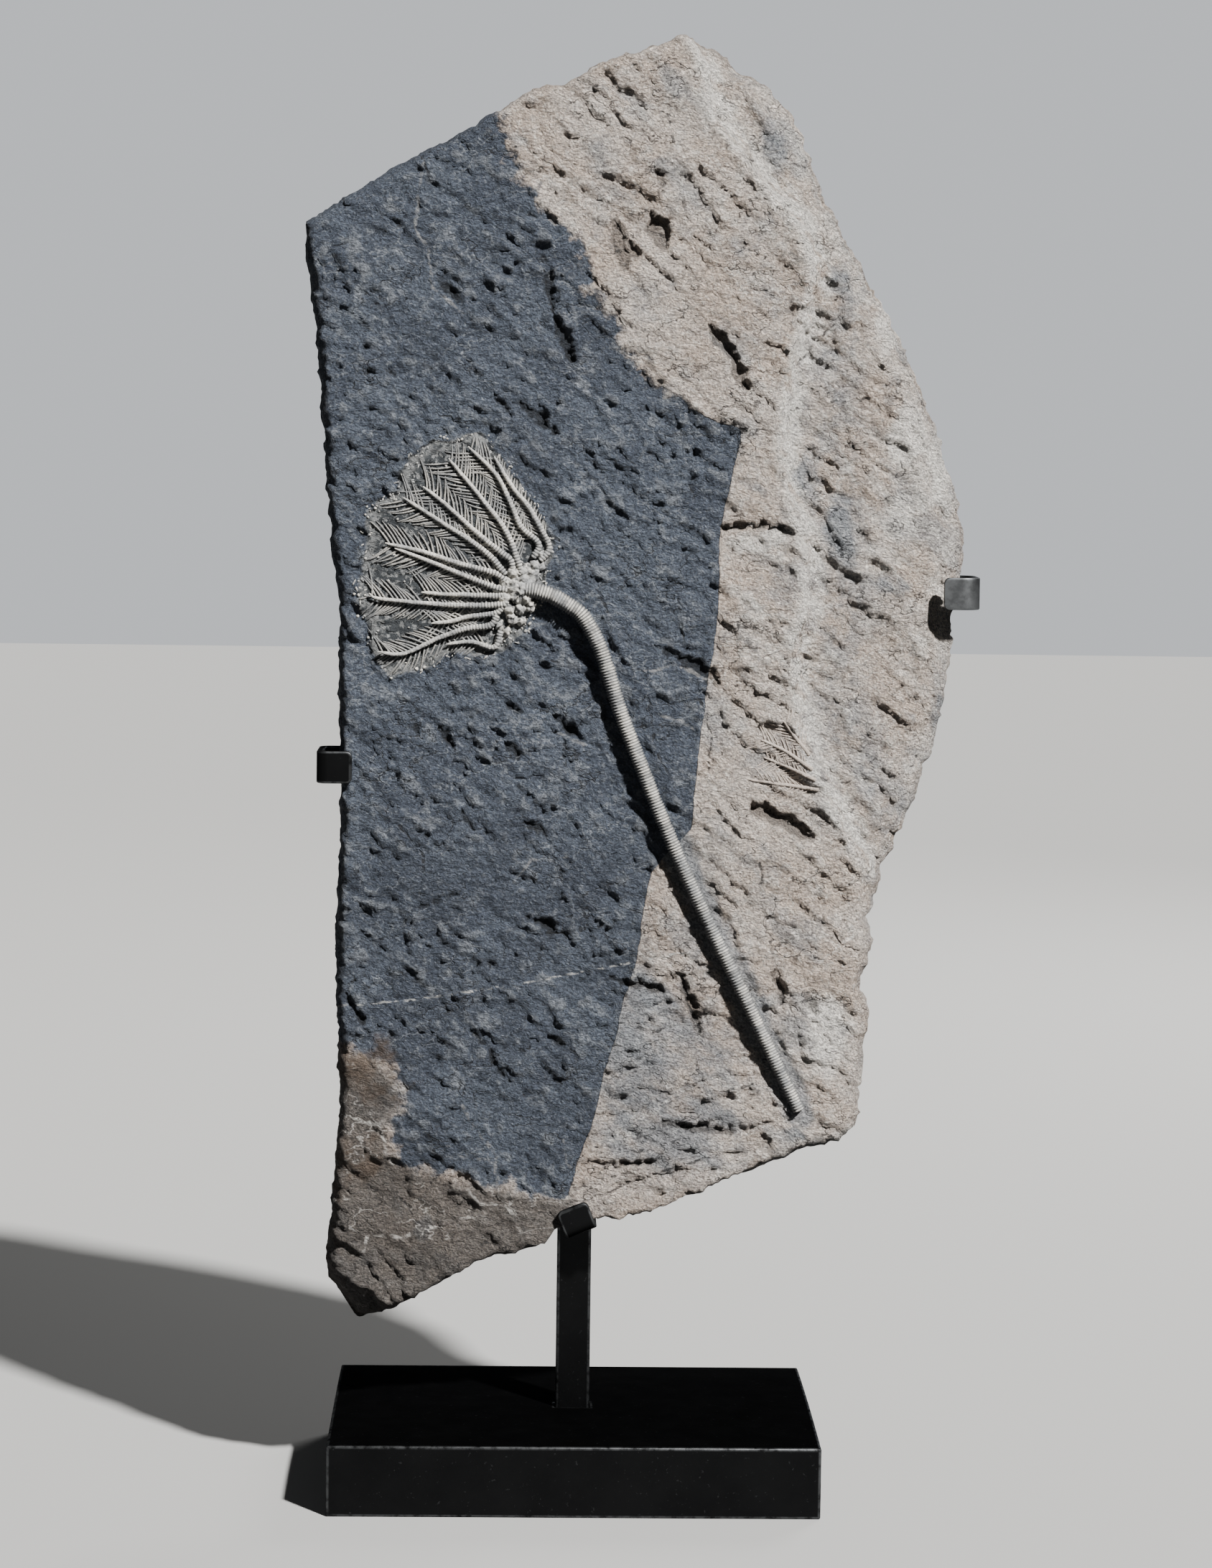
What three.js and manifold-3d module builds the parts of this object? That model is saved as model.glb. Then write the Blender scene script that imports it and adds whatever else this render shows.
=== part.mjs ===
// A slab of layered limestone with a stalked crinoid in relief, on a steel stand.
// Millimetres, +Z up, the slab faces -Y. Origin: centre of the base's underside.
import * as THREE from 'three';
import { mergeVertices } from 'three/addons/utils/BufferGeometryUtils.js';
import Module from 'manifold-3d';

const wasm = await Module();
wasm.setup();

// ---- driving dimensions -------------------------------------------------
const GAP = 0.3;                 // clearance between touching pieces
const FACE_Y = -50;              // front face of the slab
const SLAB_T = 34;               // slab thickness
const BACK_Y = FACE_Y + SLAB_T;  // back face of the slab
const EDGE_CHAMFER = 3;          // worn edge round the front and the back

const BASE_W = 303;
const BASE_D = 198;
const BASE_H = 44;               // at the front and back edges
const BASE_CROWN = 1.6;          // how much higher the middle of the top is
const POST_W = 21.5;
const POST_T = 12.7;
const POST_TOP = 600;            // hidden behind the slab
const SOCKET_DEPTH = 20;

const STRAP_T = 4.4;
const STRAP_W = 20;
const STRAP_EASE = 0.8;          // broken edges of the bar
const BEND_STEPS = 5;
const STRAP_Y = BACK_Y + GAP + STRAP_T / 2;      // middle of a strap behind the slab
const LEAF_Y = FACE_Y - GAP - STRAP_T / 2;       // middle of a strap's front leaf
const POST_Y = BACK_Y + 2 * GAP + STRAP_T + POST_T / 2;

const STEM_R = [5.0, 4.2, 3.8];  // at the crown, half way, at the broken end
const STEM_RISE = 2.0;           // stem axis in front of the slab's face
const ARM_R = [2.5, 1.2];        // at the base and at the tip
const ARM_RISE = 0.9;
const SMALL_ARM_R = [2.0, 1.1];

// ---- materials ------------------------------------------------------------
const finish = (color, roughness, metalness) =>
  new THREE.MeshStandardMaterial({ color, roughness, metalness });
const stone = finish(0x5a5f66, 0.9, 0);
const fossil = finish(0xb9b3a2, 0.8, 0);
const weathered = finish(0xa59585, 0.85, 0);
const steel = finish(0x17181b, 0.45, 0.9);

// ---- outlines: [x, z] on the slab's face -----------------------------------
const slabOutline = [
  [-173, 790], [-151, 804], [-119, 824], [-86, 841], [-53, 861], [-34, 873], [-14, 878],
  [12, 891], [47, 903], [58, 909], [71, 901], [84, 894], [94, 884], [110, 877],
  [124, 859], [139, 831], [145, 810], [163, 779], [187, 736], [204, 702], [216, 666],
  [229, 634], [236, 600], [234, 579], [230, 555], [228, 521], [221, 477], [206, 432],
  [188, 394], [189, 387], [177, 364], [184, 348], [177, 332], [176, 322], [181, 305],
  [177, 265], [175, 247], [172, 235], [164, 224], [133, 215], [97, 200], [57, 183],
  [35, 176], [17, 174], [-12, 168], [-18, 158], [-28, 155], [-56, 149], [-80, 135],
  [-107, 119], [-124, 109], [-136, 104], [-147, 122], [-155, 132], [-155, 150],
  [-151, 195], [-147, 240], [-150, 307], [-151, 353], [-148, 403], [-150, 492],
  [-150, 553], [-155, 585], [-161, 662], [-163, 684], [-167, 728], [-173, 772],
];
// the right-hand side has split off to a lower layer, down a slope along this line
const lowerLayer = [
  [60, 940], [62, 900], [80, 850], [94, 824], [118, 800], [128, 755], [121, 690],
  [122, 622], [133, 580], [127, 530], [138, 480], [158, 427], [190, 380], [280, 380],
  [280, 940],
];
const LAYER_DROP = 5;
const LAYER_SLOPE = 8;

const stemLine = [
  [-36, 567], [-29, 566], [-18.5, 562.5], [-8, 556.5], [0, 550], [9, 534.5], [14.5, 520],
  [23.5, 492], [34, 465.5], [54, 417], [79, 363.5], [104.5, 312.5], [127.5, 265.5],
  [138, 244.5],
];
// each arm runs from its base at the calyx to its tip
const armLines = [
  [[-21.5, 592], [-26.5, 603.5], [-34, 616.5], [-45, 630], [-56, 648]],
  [[-28, 594.5], [-38.5, 604.5], [-44.5, 617], [-54.5, 636.5], [-72, 654]],
  [[-39, 579], [-41.5, 586], [-48, 602], [-57.5, 615], [-84, 646.5]],
  [[-45.5, 585], [-51, 589], [-66, 601], [-83.5, 616.5], [-99.5, 629]],
  [[-51.5, 579.5], [-57, 586], [-70.5, 596.5], [-87.5, 607], [-111.5, 622]],
  [[-49.5, 573], [-55.5, 576.5], [-76.5, 582], [-99, 589], [-122.5, 594]],
  [[-49.5, 566.5], [-56, 568], [-74.5, 575], [-96, 583.5], [-116.5, 591]],
  [[-53, 562.3], [-72, 562.8], [-87, 563], [-100, 564]],
  [[-50.5, 557], [-74, 556.3], [-99.5, 557.5], [-126, 560], [-132, 563]],
  [[-53.5, 552], [-61, 550.5], [-72, 549], [-83, 546], [-93.5, 545]],
  [[-58, 544], [-74, 541.5], [-91, 535], [-110.5, 526], [-126.5, 527]],
  [[-55, 530.5], [-69.5, 534], [-84.5, 532]],
];
const smallArmLines = [
  [[147, 444.5], [124.5, 447.5], [102.5, 450.5]],
  [[145, 450.5], [129, 458], [113, 464]],
  [[143, 457], [126.5, 468], [111, 475]],
  [[141, 466], [132, 477], [124, 488]],
];
// plates of the calyx: [x, z, radius, rise in front of the face]
const calyxPlates = [
  [-38, 567, 8.5, 0], [-47, 570, 3.6, 1.2], [-43, 577, 3.4, 1.4], [-36, 579, 3.6, 1.2],
  [-31, 575, 4.0, 1.0], [-30, 582, 3.2, 0.8], [-25, 587, 3.0, 0.8], [-47, 562, 3.4, 1.4],
  [-45, 555, 3.6, 1.0], [-38, 555, 4.0, 1.4], [-31, 557, 3.2, 0.8],
];
const PLATE_FLAT = 0.7;          // how flat a plate is, of its radius

// ---- solids: geometry to manifold and back ----------------------------------
function solid(geometry) {
  const bare = geometry.clone();
  bare.deleteAttribute('normal');
  bare.deleteAttribute('uv');
  const merged = mergeVertices(bare, 1e-4);
  return new wasm.Manifold(new wasm.Mesh({
    numProp: 3,
    vertProperties: new Float32Array(merged.attributes.position.array),
    triVerts: new Uint32Array(merged.index.array),
  }));
}

function geometryOf(manifold) {
  const mesh = manifold.getMesh();
  const geometry = new THREE.BufferGeometry();
  geometry.setAttribute('position', new THREE.BufferAttribute(mesh.vertProperties, 3));
  geometry.setIndex(new THREE.BufferAttribute(mesh.triVerts, 1));
  return geometry;
}

const join = (solids) => solids.reduce((all, one) => all.add(one));
const largest = (manifold) => manifold.decompose()
  .reduce((best, one) => (one.volume() > best.volume() ? one : best));

// ---- shapes -----------------------------------------------------------------
function outlineShape(points) {
  return new THREE.Shape(points.map(([x, z]) => new THREE.Vector2(x, z)));
}

// stands an extrusion up: its outline lies in X and Z, and it grows from y towards -Y
function standing(geometry, y) {
  return geometry.rotateX(Math.PI / 2).translate(0, y, 0);
}

// a tapered rod along a line on the slab's face, its radius read from a list of sizes
function rod(line, radii, rise, grow = 0, sides = 8, stepsPerPoint = 2) {
  const path = new THREE.CatmullRomCurve3(
    line.map(([x, z]) => new THREE.Vector3(x, FACE_Y - rise, z)), false, 'centripetal');
  const steps = (line.length - 1) * stepsPerPoint;
  const geometry = new THREE.CylinderGeometry(1, 1, 1, sides, steps);
  const position = geometry.attributes.position;
  const outward = new THREE.Vector3(0, 1, 0);
  for (let i = 0; i < position.count; i += 1) {
    const along = THREE.MathUtils.clamp(0.5 - position.getY(i), 0, 1);
    const place = along * (radii.length - 1);
    const left = Math.min(Math.floor(place), radii.length - 2);
    const radius = THREE.MathUtils.lerp(radii[left], radii[left + 1], place - left) + grow;
    const centre = path.getPointAt(along);
    const heading = path.getTangentAt(along);
    const side = new THREE.Vector3().crossVectors(outward, heading);
    const end = along === 0 ? -grow : along === 1 ? grow : 0;
    centre.addScaledVector(heading, end);
    centre.addScaledVector(side, position.getX(i) * radius);
    centre.addScaledVector(outward, position.getZ(i) * radius);
    position.setXYZ(i, centre.x, centre.y, centre.z);
  }
  const shape = solid(geometry);
  return shape.volume() < 0 ? solid(flipped(geometry)) : shape;
}

function flipped(geometry) {
  const index = geometry.index.array;
  for (let i = 0; i < index.length; i += 3) {
    [index[i], index[i + 1]] = [index[i + 1], index[i]];
  }
  return geometry;
}

function plate([x, z, radius, rise], grow = 0) {
  const geometry = new THREE.SphereGeometry(radius + grow, 9, 6);
  geometry.scale(1, PLATE_FLAT, 1);
  return solid(geometry.translate(x, FACE_Y - rise, z));
}

// moves an open line of points sideways by an offset, with square corners
function offsetLine(points, offset) {
  const normals = points.slice(1).map(([x, y], i) => {
    const [dx, dy] = [x - points[i][0], y - points[i][1]];
    const length = Math.hypot(dx, dy);
    return [-dy / length, dx / length];
  });
  return points.map(([x, y], i) => {
    const before = normals[Math.max(i - 1, 0)];
    const after = normals[Math.min(i, normals.length - 1)];
    const scale = offset / (1 + before[0] * after[0] + before[1] * after[1]);
    return [x + (before[0] + after[0]) * scale, y + (before[1] + after[1]) * scale];
  });
}

// a flat bar bent along its middle line, lying in X and Y, with its width along Z
function strap(points, bendRadius) {
  const towards = (here, there) => {
    const share = bendRadius / Math.hypot(there[0] - here[0], there[1] - here[1]);
    return [0, 1].map((k) => here[k] + (there[k] - here[k]) * share);
  };
  const middle = new THREE.Path();
  middle.moveTo(...points[0]);
  points.slice(1, -1).forEach((here, i) => {
    middle.lineTo(...towards(here, points[i]));
    middle.quadraticCurveTo(...here, ...towards(here, points[i + 2]));
  });
  middle.lineTo(...points.at(-1));
  const line = middle.getPoints(BEND_STEPS).map((point) => point.toArray());
  const half = STRAP_T / 2 - STRAP_EASE;
  const outline = [...offsetLine(line, half), ...offsetLine(line, -half).reverse()];
  return new THREE.ExtrudeGeometry(
    new THREE.Shape(outline.map((point) => new THREE.Vector2(...point))), {
      depth: STRAP_W - 2 * STRAP_EASE,
      bevelThickness: STRAP_EASE,
      bevelSize: STRAP_EASE,
      bevelSegments: 1,
    }).translate(0, 0, STRAP_EASE - STRAP_W / 2);
}

// ---- the stand ----------------------------------------------------------------
const part = new THREE.Group();

function add(name, geometry, material) {
  const mesh = new THREE.Mesh(geometry, material);
  mesh.name = name;
  part.add(mesh);
  return mesh;
}

function baseSolid() {
  const profile = new THREE.Shape();
  const half = BASE_D / 2;
  profile.moveTo(-half, 0);
  profile.lineTo(half, 0);
  profile.lineTo(half, BASE_H);
  profile.quadraticCurveTo(0, BASE_H + 2 * BASE_CROWN, -half, BASE_H);
  const block = new THREE.ExtrudeGeometry(profile,
    { depth: BASE_W, bevelEnabled: false, curveSegments: 8 });
  block.rotateX(Math.PI / 2).rotateZ(Math.PI / 2).translate(-BASE_W / 2, 0, 0);
  const socket = new THREE.BoxGeometry(POST_W + 2 * GAP, POST_T + 2 * GAP, 2 * SOCKET_DEPTH);
  socket.translate(0, POST_Y, BASE_H + BASE_CROWN);
  return solid(block).subtract(solid(socket));
}

function postSolid() {
  const foot = BASE_H + BASE_CROWN - SOCKET_DEPTH + GAP;
  const height = POST_TOP - foot;
  return new THREE.BoxGeometry(POST_W, POST_T, height)
    .translate(0, POST_Y, foot + height / 2);
}

add('base', geometryOf(baseSolid()), steel);
add('post', postSolid(), steel);

// the side straps: from the post behind the slab, round its edge, onto its face
const LEFT_STRAP = { z: 455.5, edge: -161.3, leaf: -141.5, bend: 5 };
const RIGHT_STRAP = { z: 567, edge: 243.3, leaf: 222.5, bend: 9 };
for (const [name, { z, edge, leaf, bend }] of [
  ['left_strap', LEFT_STRAP], ['right_strap', RIGHT_STRAP]]) {
  const start = -Math.sign(edge) * POST_W / 2;
  const bar = strap([[start, STRAP_Y], [edge, STRAP_Y], [edge, LEAF_Y], [leaf, LEAF_Y]], bend);
  add(name, bar.translate(0, 0, z), steel);
}

// the bottom hook: down the front of the post, under the slab's edge and up its face
const HOOK = { x: 3.4, z: 167.8, lean: -22, back: 34, front: 16.2, bend: 4 };
const placeOnHook = (geometry) => geometry
  .rotateY(THREE.MathUtils.degToRad(HOOK.lean)).translate(HOOK.x, 0, HOOK.z);
const hookBar = strap(
  [[-HOOK.back, STRAP_Y], [0, STRAP_Y], [0, LEAF_Y], [-HOOK.front, LEAF_Y]], HOOK.bend);
add('bottom_hook', placeOnHook(hookBar.rotateY(Math.PI / 2)), steel);

// ---- the crinoid ------------------------------------------------------------------
const stemRod = (grow) => rod(stemLine, STEM_R, STEM_RISE, grow, 12, 3);
const armRod = (line, grow) => rod(line, ARM_R, ARM_RISE, grow);
const smallArmRod = (line, grow) => rod(line, SMALL_ARM_R, 0, grow, 7);

const seats = [];                // every fossil piece, grown by the gap
function addFossil(name, shape, grown, material = fossil) {
  const taken = seats.length ? shape.subtract(join(seats)) : shape;
  add(name, geometryOf(largest(taken)), material);
  seats.push(grown);
}

addFossil('stem', stemRod(0), stemRod(GAP));
armLines.forEach((line, i) => {
  addFossil(`arm_${String(i + 1).padStart(2, '0')}`, armRod(line, 0), armRod(line, GAP));
});
addFossil('calyx', join(calyxPlates.map((one) => plate(one))),
  join(calyxPlates.map((one) => plate(one, GAP))));
smallArmLines.forEach((line, i) => {
  addFossil(`small_arm_0${i + 1}`, smallArmRod(line, 0), smallArmRod(line, GAP), weathered);
});

// ---- the slab ---------------------------------------------------------------------
function slabBlock() {
  const block = new THREE.ExtrudeGeometry(outlineShape(slabOutline), {
    depth: SLAB_T - 2 * EDGE_CHAMFER,
    bevelThickness: EDGE_CHAMFER,
    bevelSize: EDGE_CHAMFER,
    bevelOffset: -EDGE_CHAMFER,
    bevelSegments: 1,
  });
  return solid(standing(block, BACK_Y - EDGE_CHAMFER));
}

// what has split off on the right: a layer, with a sloping edge
function lostLayer() {
  const above = 10;
  const layer = new THREE.ExtrudeGeometry(outlineShape(lowerLayer), {
    depth: above,
    bevelThickness: LAYER_DROP,
    bevelSize: LAYER_SLOPE,
    bevelOffset: -LAYER_SLOPE,
    bevelSegments: 1,
  });
  return solid(standing(layer, FACE_Y));
}

// the chipped lower left corner, broken off on a slant across the face
function cornerChip() {
  const chip = new THREE.BoxGeometry(120, 60, 40);
  chip.rotateX(THREE.MathUtils.degToRad(38)).rotateY(THREE.MathUtils.degToRad(40));
  return solid(chip.translate(-160, FACE_Y - 18, 108));
}

// the flat under the slab where its weight rests on the hook
function restingFlat() {
  const depth = 20;
  const flat = new THREE.BoxGeometry(STRAP_W + 2, 2 * SLAB_T, depth);
  flat.translate(0, (FACE_Y + BACK_Y) / 2, (STRAP_T - depth) / 2 + GAP);
  return solid(placeOnHook(flat));
}

const slab = [lostLayer(), cornerChip(), restingFlat(), ...seats]
  .reduce((rest, cut) => rest.subtract(cut), slabBlock());
add('slab', geometryOf(largest(slab)), stone);

export default part;
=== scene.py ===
"""A split limestone slab with a stalked crinoid in relief, held on a blackened steel stand."""
import math
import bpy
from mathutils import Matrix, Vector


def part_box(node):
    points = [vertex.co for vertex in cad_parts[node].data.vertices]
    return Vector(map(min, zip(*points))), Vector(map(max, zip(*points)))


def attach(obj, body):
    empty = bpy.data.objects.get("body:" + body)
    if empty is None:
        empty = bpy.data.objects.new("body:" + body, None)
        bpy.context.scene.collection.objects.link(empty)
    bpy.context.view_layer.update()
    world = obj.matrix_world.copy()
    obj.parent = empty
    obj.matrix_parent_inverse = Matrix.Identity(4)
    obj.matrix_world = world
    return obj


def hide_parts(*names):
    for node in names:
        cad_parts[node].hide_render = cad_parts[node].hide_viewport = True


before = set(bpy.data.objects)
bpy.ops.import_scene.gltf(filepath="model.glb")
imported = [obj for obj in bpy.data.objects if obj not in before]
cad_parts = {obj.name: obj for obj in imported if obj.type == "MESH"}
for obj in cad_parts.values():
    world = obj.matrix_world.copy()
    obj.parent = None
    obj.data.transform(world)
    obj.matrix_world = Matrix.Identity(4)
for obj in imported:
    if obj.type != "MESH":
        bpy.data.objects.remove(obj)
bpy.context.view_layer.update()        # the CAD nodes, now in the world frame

from types import SimpleNamespace

import bmesh
import bpy
import numpy as np
from bpy.props import FloatProperty, FloatVectorProperty, IntProperty, PointerProperty
from mathutils import Matrix, Vector
from mathutils.geometry import delaunay_2d_cdt

bl_info = {
    "name": "Crinoid slab on a stand",
    "version": (1, 0, 0),
    "blender": (4, 5, 0),
    "location": "View3D > Sidebar > Fossil",
    "description": "Builds a crinoid fossil slab and the steel stand that holds it",
    "category": "Add Mesh",
}

MM = 0.001


def node_box(node):
    """Lowest and highest corners of a CAD node, in millimetres."""
    low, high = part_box(node)
    return np.array(low) / MM, np.array(high) / MM


FAR = 99.0                      # a distance past the reach of any mask
SLAB_LOW, SLAB_HIGH = node_box("slab")
FACE_Y = SLAB_LOW[1]
BACK_Y = SLAB_HIGH[1]
THICKNESS = BACK_Y - FACE_Y
STRAP_THICK = 4.4
STRAP_WIDTH = 20.0

# ---- lines drawn on the slab's face, as (x, z) in millimetres ---------------------------

STEM_LINE = [
    (-36, 567), (-29, 566), (-18.5, 562.5), (-8, 556.5), (0, 550), (9, 534.5), (14.5, 520),
    (23.5, 492), (34, 465.5), (54, 417), (79, 363.5), (104.5, 312.5), (127.5, 265.5),
    (138, 244.5),
]
# each arm runs from the calyx to its tip
ARM_LINES = [
    [(-21.5, 592), (-26.5, 603.5), (-34, 616.5), (-45, 630), (-56, 648)],
    [(-28, 594.5), (-38.5, 604.5), (-44.5, 617), (-54.5, 636.5), (-72, 654)],
    [(-39, 579), (-41.5, 586), (-48, 602), (-57.5, 615), (-84, 646.5)],
    [(-45.5, 585), (-51, 589), (-66, 601), (-83.5, 616.5), (-99.5, 629)],
    [(-51.5, 579.5), (-57, 586), (-70.5, 596.5), (-87.5, 607), (-111.5, 622)],
    [(-49.5, 573), (-55.5, 576.5), (-76.5, 582), (-99, 589), (-122.5, 594)],
    [(-49.5, 566.5), (-56, 568), (-74.5, 575), (-96, 583.5), (-116.5, 591)],
    [(-53, 562.3), (-72, 562.8), (-87, 563), (-100, 564)],
    [(-50.5, 557), (-74, 556.3), (-99.5, 557.5), (-126, 560), (-132, 563)],
    [(-53.5, 552), (-61, 550.5), (-72, 549), (-83, 546), (-93.5, 545)],
    [(-58, 544), (-74, 541.5), (-91, 535), (-110.5, 526), (-126.5, 527)],
    [(-55, 530.5), (-69.5, 534), (-84.5, 532)],
]
SMALL_ARM_LINES = [
    [(147, 444.5), (124.5, 447.5), (102.5, 450.5)],
    [(145, 450.5), (129, 458), (113, 464)],
    [(143, 457), (126.5, 468), (111, 475)],
    [(141, 466), (132, 477), (124, 488)],
]
CROWN_OUTLINE = [
    (-65, 663), (-55, 651), (-29, 615), (-18, 594), (-24, 579), (-24, 566), (-32, 554),
    (-38, 539), (-50, 528), (-66, 526), (-83, 527), (-91, 520), (-101, 516), (-120, 512),
    (-131, 528), (-131, 543), (-139, 554), (-139, 565), (-135, 580), (-133, 612), (-126, 621),
    (-115, 626), (-112, 640), (-101, 654), (-88, 658), (-80, 656), (-73, 662),
]
# where the dark limestone meets the tan weathered layer, from the top edge downwards
UPPER_SEAM = [
    (-60, 880), (-53, 861), (-46, 824), (-34, 812), (-31, 800), (-8, 781), (-2, 765),
    (1, 752), (13, 735), (23, 713), (39, 700), (57, 683), (96, 666),
]
LOWER_SEAM = [
    (96, 666), (94, 652), (88, 628), (84, 604), (83.5, 586), (83, 555), (81, 531), (77, 511),
    (75, 488), (72, 466), (70, 439), (69, 420), (44, 392), (40, 370), (36, 341), (31, 320),
    (27, 309), (23, 287), (17, 269), (13, 248), (8, 230), (1, 210), (-5, 190),
]
CORNER_SEAM = [
    (-5, 190), (-46, 196), (-73, 200), (-90, 205), (-108, 211), (-115, 222), (-116, 231),
    (-109, 243), (-109, 252), (-113, 265), (-122, 272), (-133, 278), (-160, 284),
]
LAYER_EDGE = [
    (60, 940), (63, 900), (74, 870), (91, 839), (113, 811), (132, 788), (140, 760), (134, 726),
    (125, 700), (121, 656), (127, 620), (134, 596), (139, 572), (130, 540), (131, 505),
    (139, 475), (158, 427), (190, 380),
]
SPLIT_EDGE = [(170, 768), (149, 741), (138, 730), (127, 719), (123, 697)]
WHITE_VEIN = [(-150, 306), (-147, 307), (-105, 311), (-47, 320), (11, 331), (55, 341), (75, 343)]
PALE_LINES = [
    [(-101, 829), (-104, 810), (-106, 787), (-97, 772), (-95, 751), (-75, 735)],
    [(144, 682), (163, 644), (174, 621), (183, 613)], [(129, 702), (141, 719), (153, 730)],
    [(113, 811), (123, 797), (136, 789)], [(-42, 384), (-30, 399), (-8, 401)],
    [(-80, 220), (-73, 214), (-62, 211), (-54, 212)],
    [(-71, 246), (-67, 236), (-58, 225), (-51, 216), (-49, 200), (-48, 189)],
    [(-154, 153), (-143, 152), (-132, 151), (-129, 161), (-115, 162), (-106, 160), (-102, 164)],
    [(-67, 192), (-60, 184), (-44, 183), (-38, 176), (-35, 167)], [(-8, 225), (-7, 212), (-4, 207)],
    [(-121, 230), (-119, 218), (-114, 206)], [(-141, 236), (-130, 234), (-117, 232)],
    [(147, 334), (159, 346), (178, 359)], [(38, 517), (48, 518), (55, 521), (68, 517), (80, 510)],
    [(-16, 478), (-6, 474), (2, 470)], [(48, 489), (60, 487), (70, 480)],
]
# lines of painted shade in thin cracks, which also dent the bump
DARK_LINES = [
    [(129, 704), (141, 721), (154, 732), (158, 745)], [(151, 684), (158, 683), (175, 687)],
    [(98, 695), (110, 689), (117, 692)], [(57, 811), (60, 797), (67, 790)],
    [(175, 687), (180, 683), (183, 672)], [(72, 500), (80, 478), (78, 455)],
    [(20, 300), (45, 292), (60, 297)], [(60, 262), (88, 255), (110, 260)],
    [(-70, 640), (-52, 622), (-49, 604)], [(-20, 600), (4, 584), (9, 560)],
    [(-112, 420), (-98, 402), (-96, 388)], [(148, 452), (160, 447), (171, 452)],
    [(-111, 187), (-103, 179), (-101, 171), (-96, 170)], [(30, 870), (48, 858), (52, 842)],
    [(-47, 255), (-39, 259), (-33, 252)], [(12, 214), (23, 212), (42, 218)],
    [(22, 201), (33, 204), (42, 202)], [(11, 188), (33, 197), (57, 206), (73, 210), (85, 215)],
    [(111, 398), (113, 386), (110, 384)], [(37, 226), (54, 222)], [(11, 220), (22, 219)],
    [(64, 328), (67, 312), (73, 300), (77, 285)], [(119, 328), (127, 316), (139, 294)],
    [(58, 562), (60, 547), (64, 532)], [(9, 568), (15, 553), (24, 544), (30, 536)],
    [(41, 504), (43, 488), (45, 470), (53, 454)], [(-20, 524), (-7, 516)], [(70, 552), (79, 544)],
    [(60, 497), (70, 500), (77, 495)], [(-101, 829), (-96, 812)], [(-28, 762), (-22, 748)],
]
# pale (+) and blue-grey (-) areas of the weathered stone, the pale ones under the ledge and along the
# right rim being painted highlight: middle, half sizes, strength
TONES = [
    (106, 598, 24, 7, 1.0), (198, 664, 12, 15, 1.0), (184, 737, 7, 20, 0.7), (219, 648, 6, 26, 0.8),
    (73, 869, 7, 26, 0.7), (156, 290, 14, 30, 0.8), (160, 225, 14, 10, 0.6), (103, 560, 14, 16, 0.5),
    (191, 569, 18, 14, -1.1), (221, 515, 8, 45, -0.8), (160, 608, 12, 30, -0.9),
    (139, 634, 8, 26, -0.9), (114, 840, 8, 24, -0.9), (100, 780, 16, 9, -0.6),
    (157, 757, 10, 13, -0.8), (190, 689, 8, 14, -0.8), (-96, 167, 8, 7, -1.6),
    (134, 230, 9, 6, -1.0), (112, 380, 10, 12, -0.5), (60, 262, 60, 62, -0.55),
    (118, 470, 22, 22, -0.4), (190, 470, 22, 34, -0.3), (35, 330, 16, 30, -0.5),
    (60, 225, 50, 26, -0.5), (40, 285, 26, 40, -0.5), (205, 600, 34, 120, 0.45),
]
STAINS = [(-127, 262, 20, 22), (-146, 206, 9, 19), (-129, 212, 8, 22)]   # middle, half sizes

# gouges in the face: start, end, width, depth
GOUGES = [
    ((-26, 769), (-21, 739), 5, 2.6), ((-21, 739), (-8, 706), 6, 3.0),
    ((76, 729), (87, 717), 9, 5.5), ((87, 717), (98, 692), 8, 5.0),
    ((39, 797), (47, 779), 9, 5.5), ((42, 823), (46, 810), 5, 2.5),
    ((16, 794), (23, 764), 7, 3.2), ((25, 781), (29, 770), 5, 2.5),
    ((-92, 758), (-76, 740), 5, 2.4), ((-56, 685), (-47, 677), 4, 2.0),
    ((-42, 681), (-18, 664), 6, 2.8), ((-139, 698), (-117, 698), 4, 1.6),
    ((85, 607), (122, 607), 4, 3.0), ((47, 532), (60, 525), 5, 2.4), ((60, 525), (84, 512), 8, 4.4),
    ((-32, 364), (-6, 351), 4, 3.0), ((-65, 292), (-51, 272), 5, 2.4),
    ((-51, 272), (-42, 260), 4, 1.8), ((-20, 291), (-9, 284), 4, 2.6),
    ((20, 325), (53, 318), 5, 3.2), ((64, 327), (76, 292), 5, 3.6),
    ((52, 236), (97, 229), 5, 2.8), ((23, 208), (46, 211), 4, 2.4),
    ((-19, 488), (-3, 478), 6, 2.8), ((-46, 494), (-36, 489), 5, 2.0),
    ((-89, 481), (-79, 469), 5, 2.0), ((-107, 488), (-101, 477), 4, 1.8),
    ((-46, 472), (-40, 462), 5, 2.2), ((-40, 445), (-29, 438), 5, 2.2),
    ((-73, 429), (-66, 416), 4, 2.2), ((-33, 422), (-19, 412), 5, 2.2),
    ((-104, 367), (-74, 378), 4, 1.6), ((-143, 314), (-132, 292), 4, 3.0),
    ((106, 433), (125, 426), 8, 5.0), ((125, 426), (143, 415), 7, 4.6),
    ((120, 330), (126, 312), 6, 2.2), ((150, 300), (141, 318), 6, 2.0),
]

# ---- relief: repeatable noise on a plane ---------------------------------------------------


def smoothstep(low, high, value):
    t = np.clip((value - low) / (high - low), 0, 1)
    return t * t * (3 - 2 * t)


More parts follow.
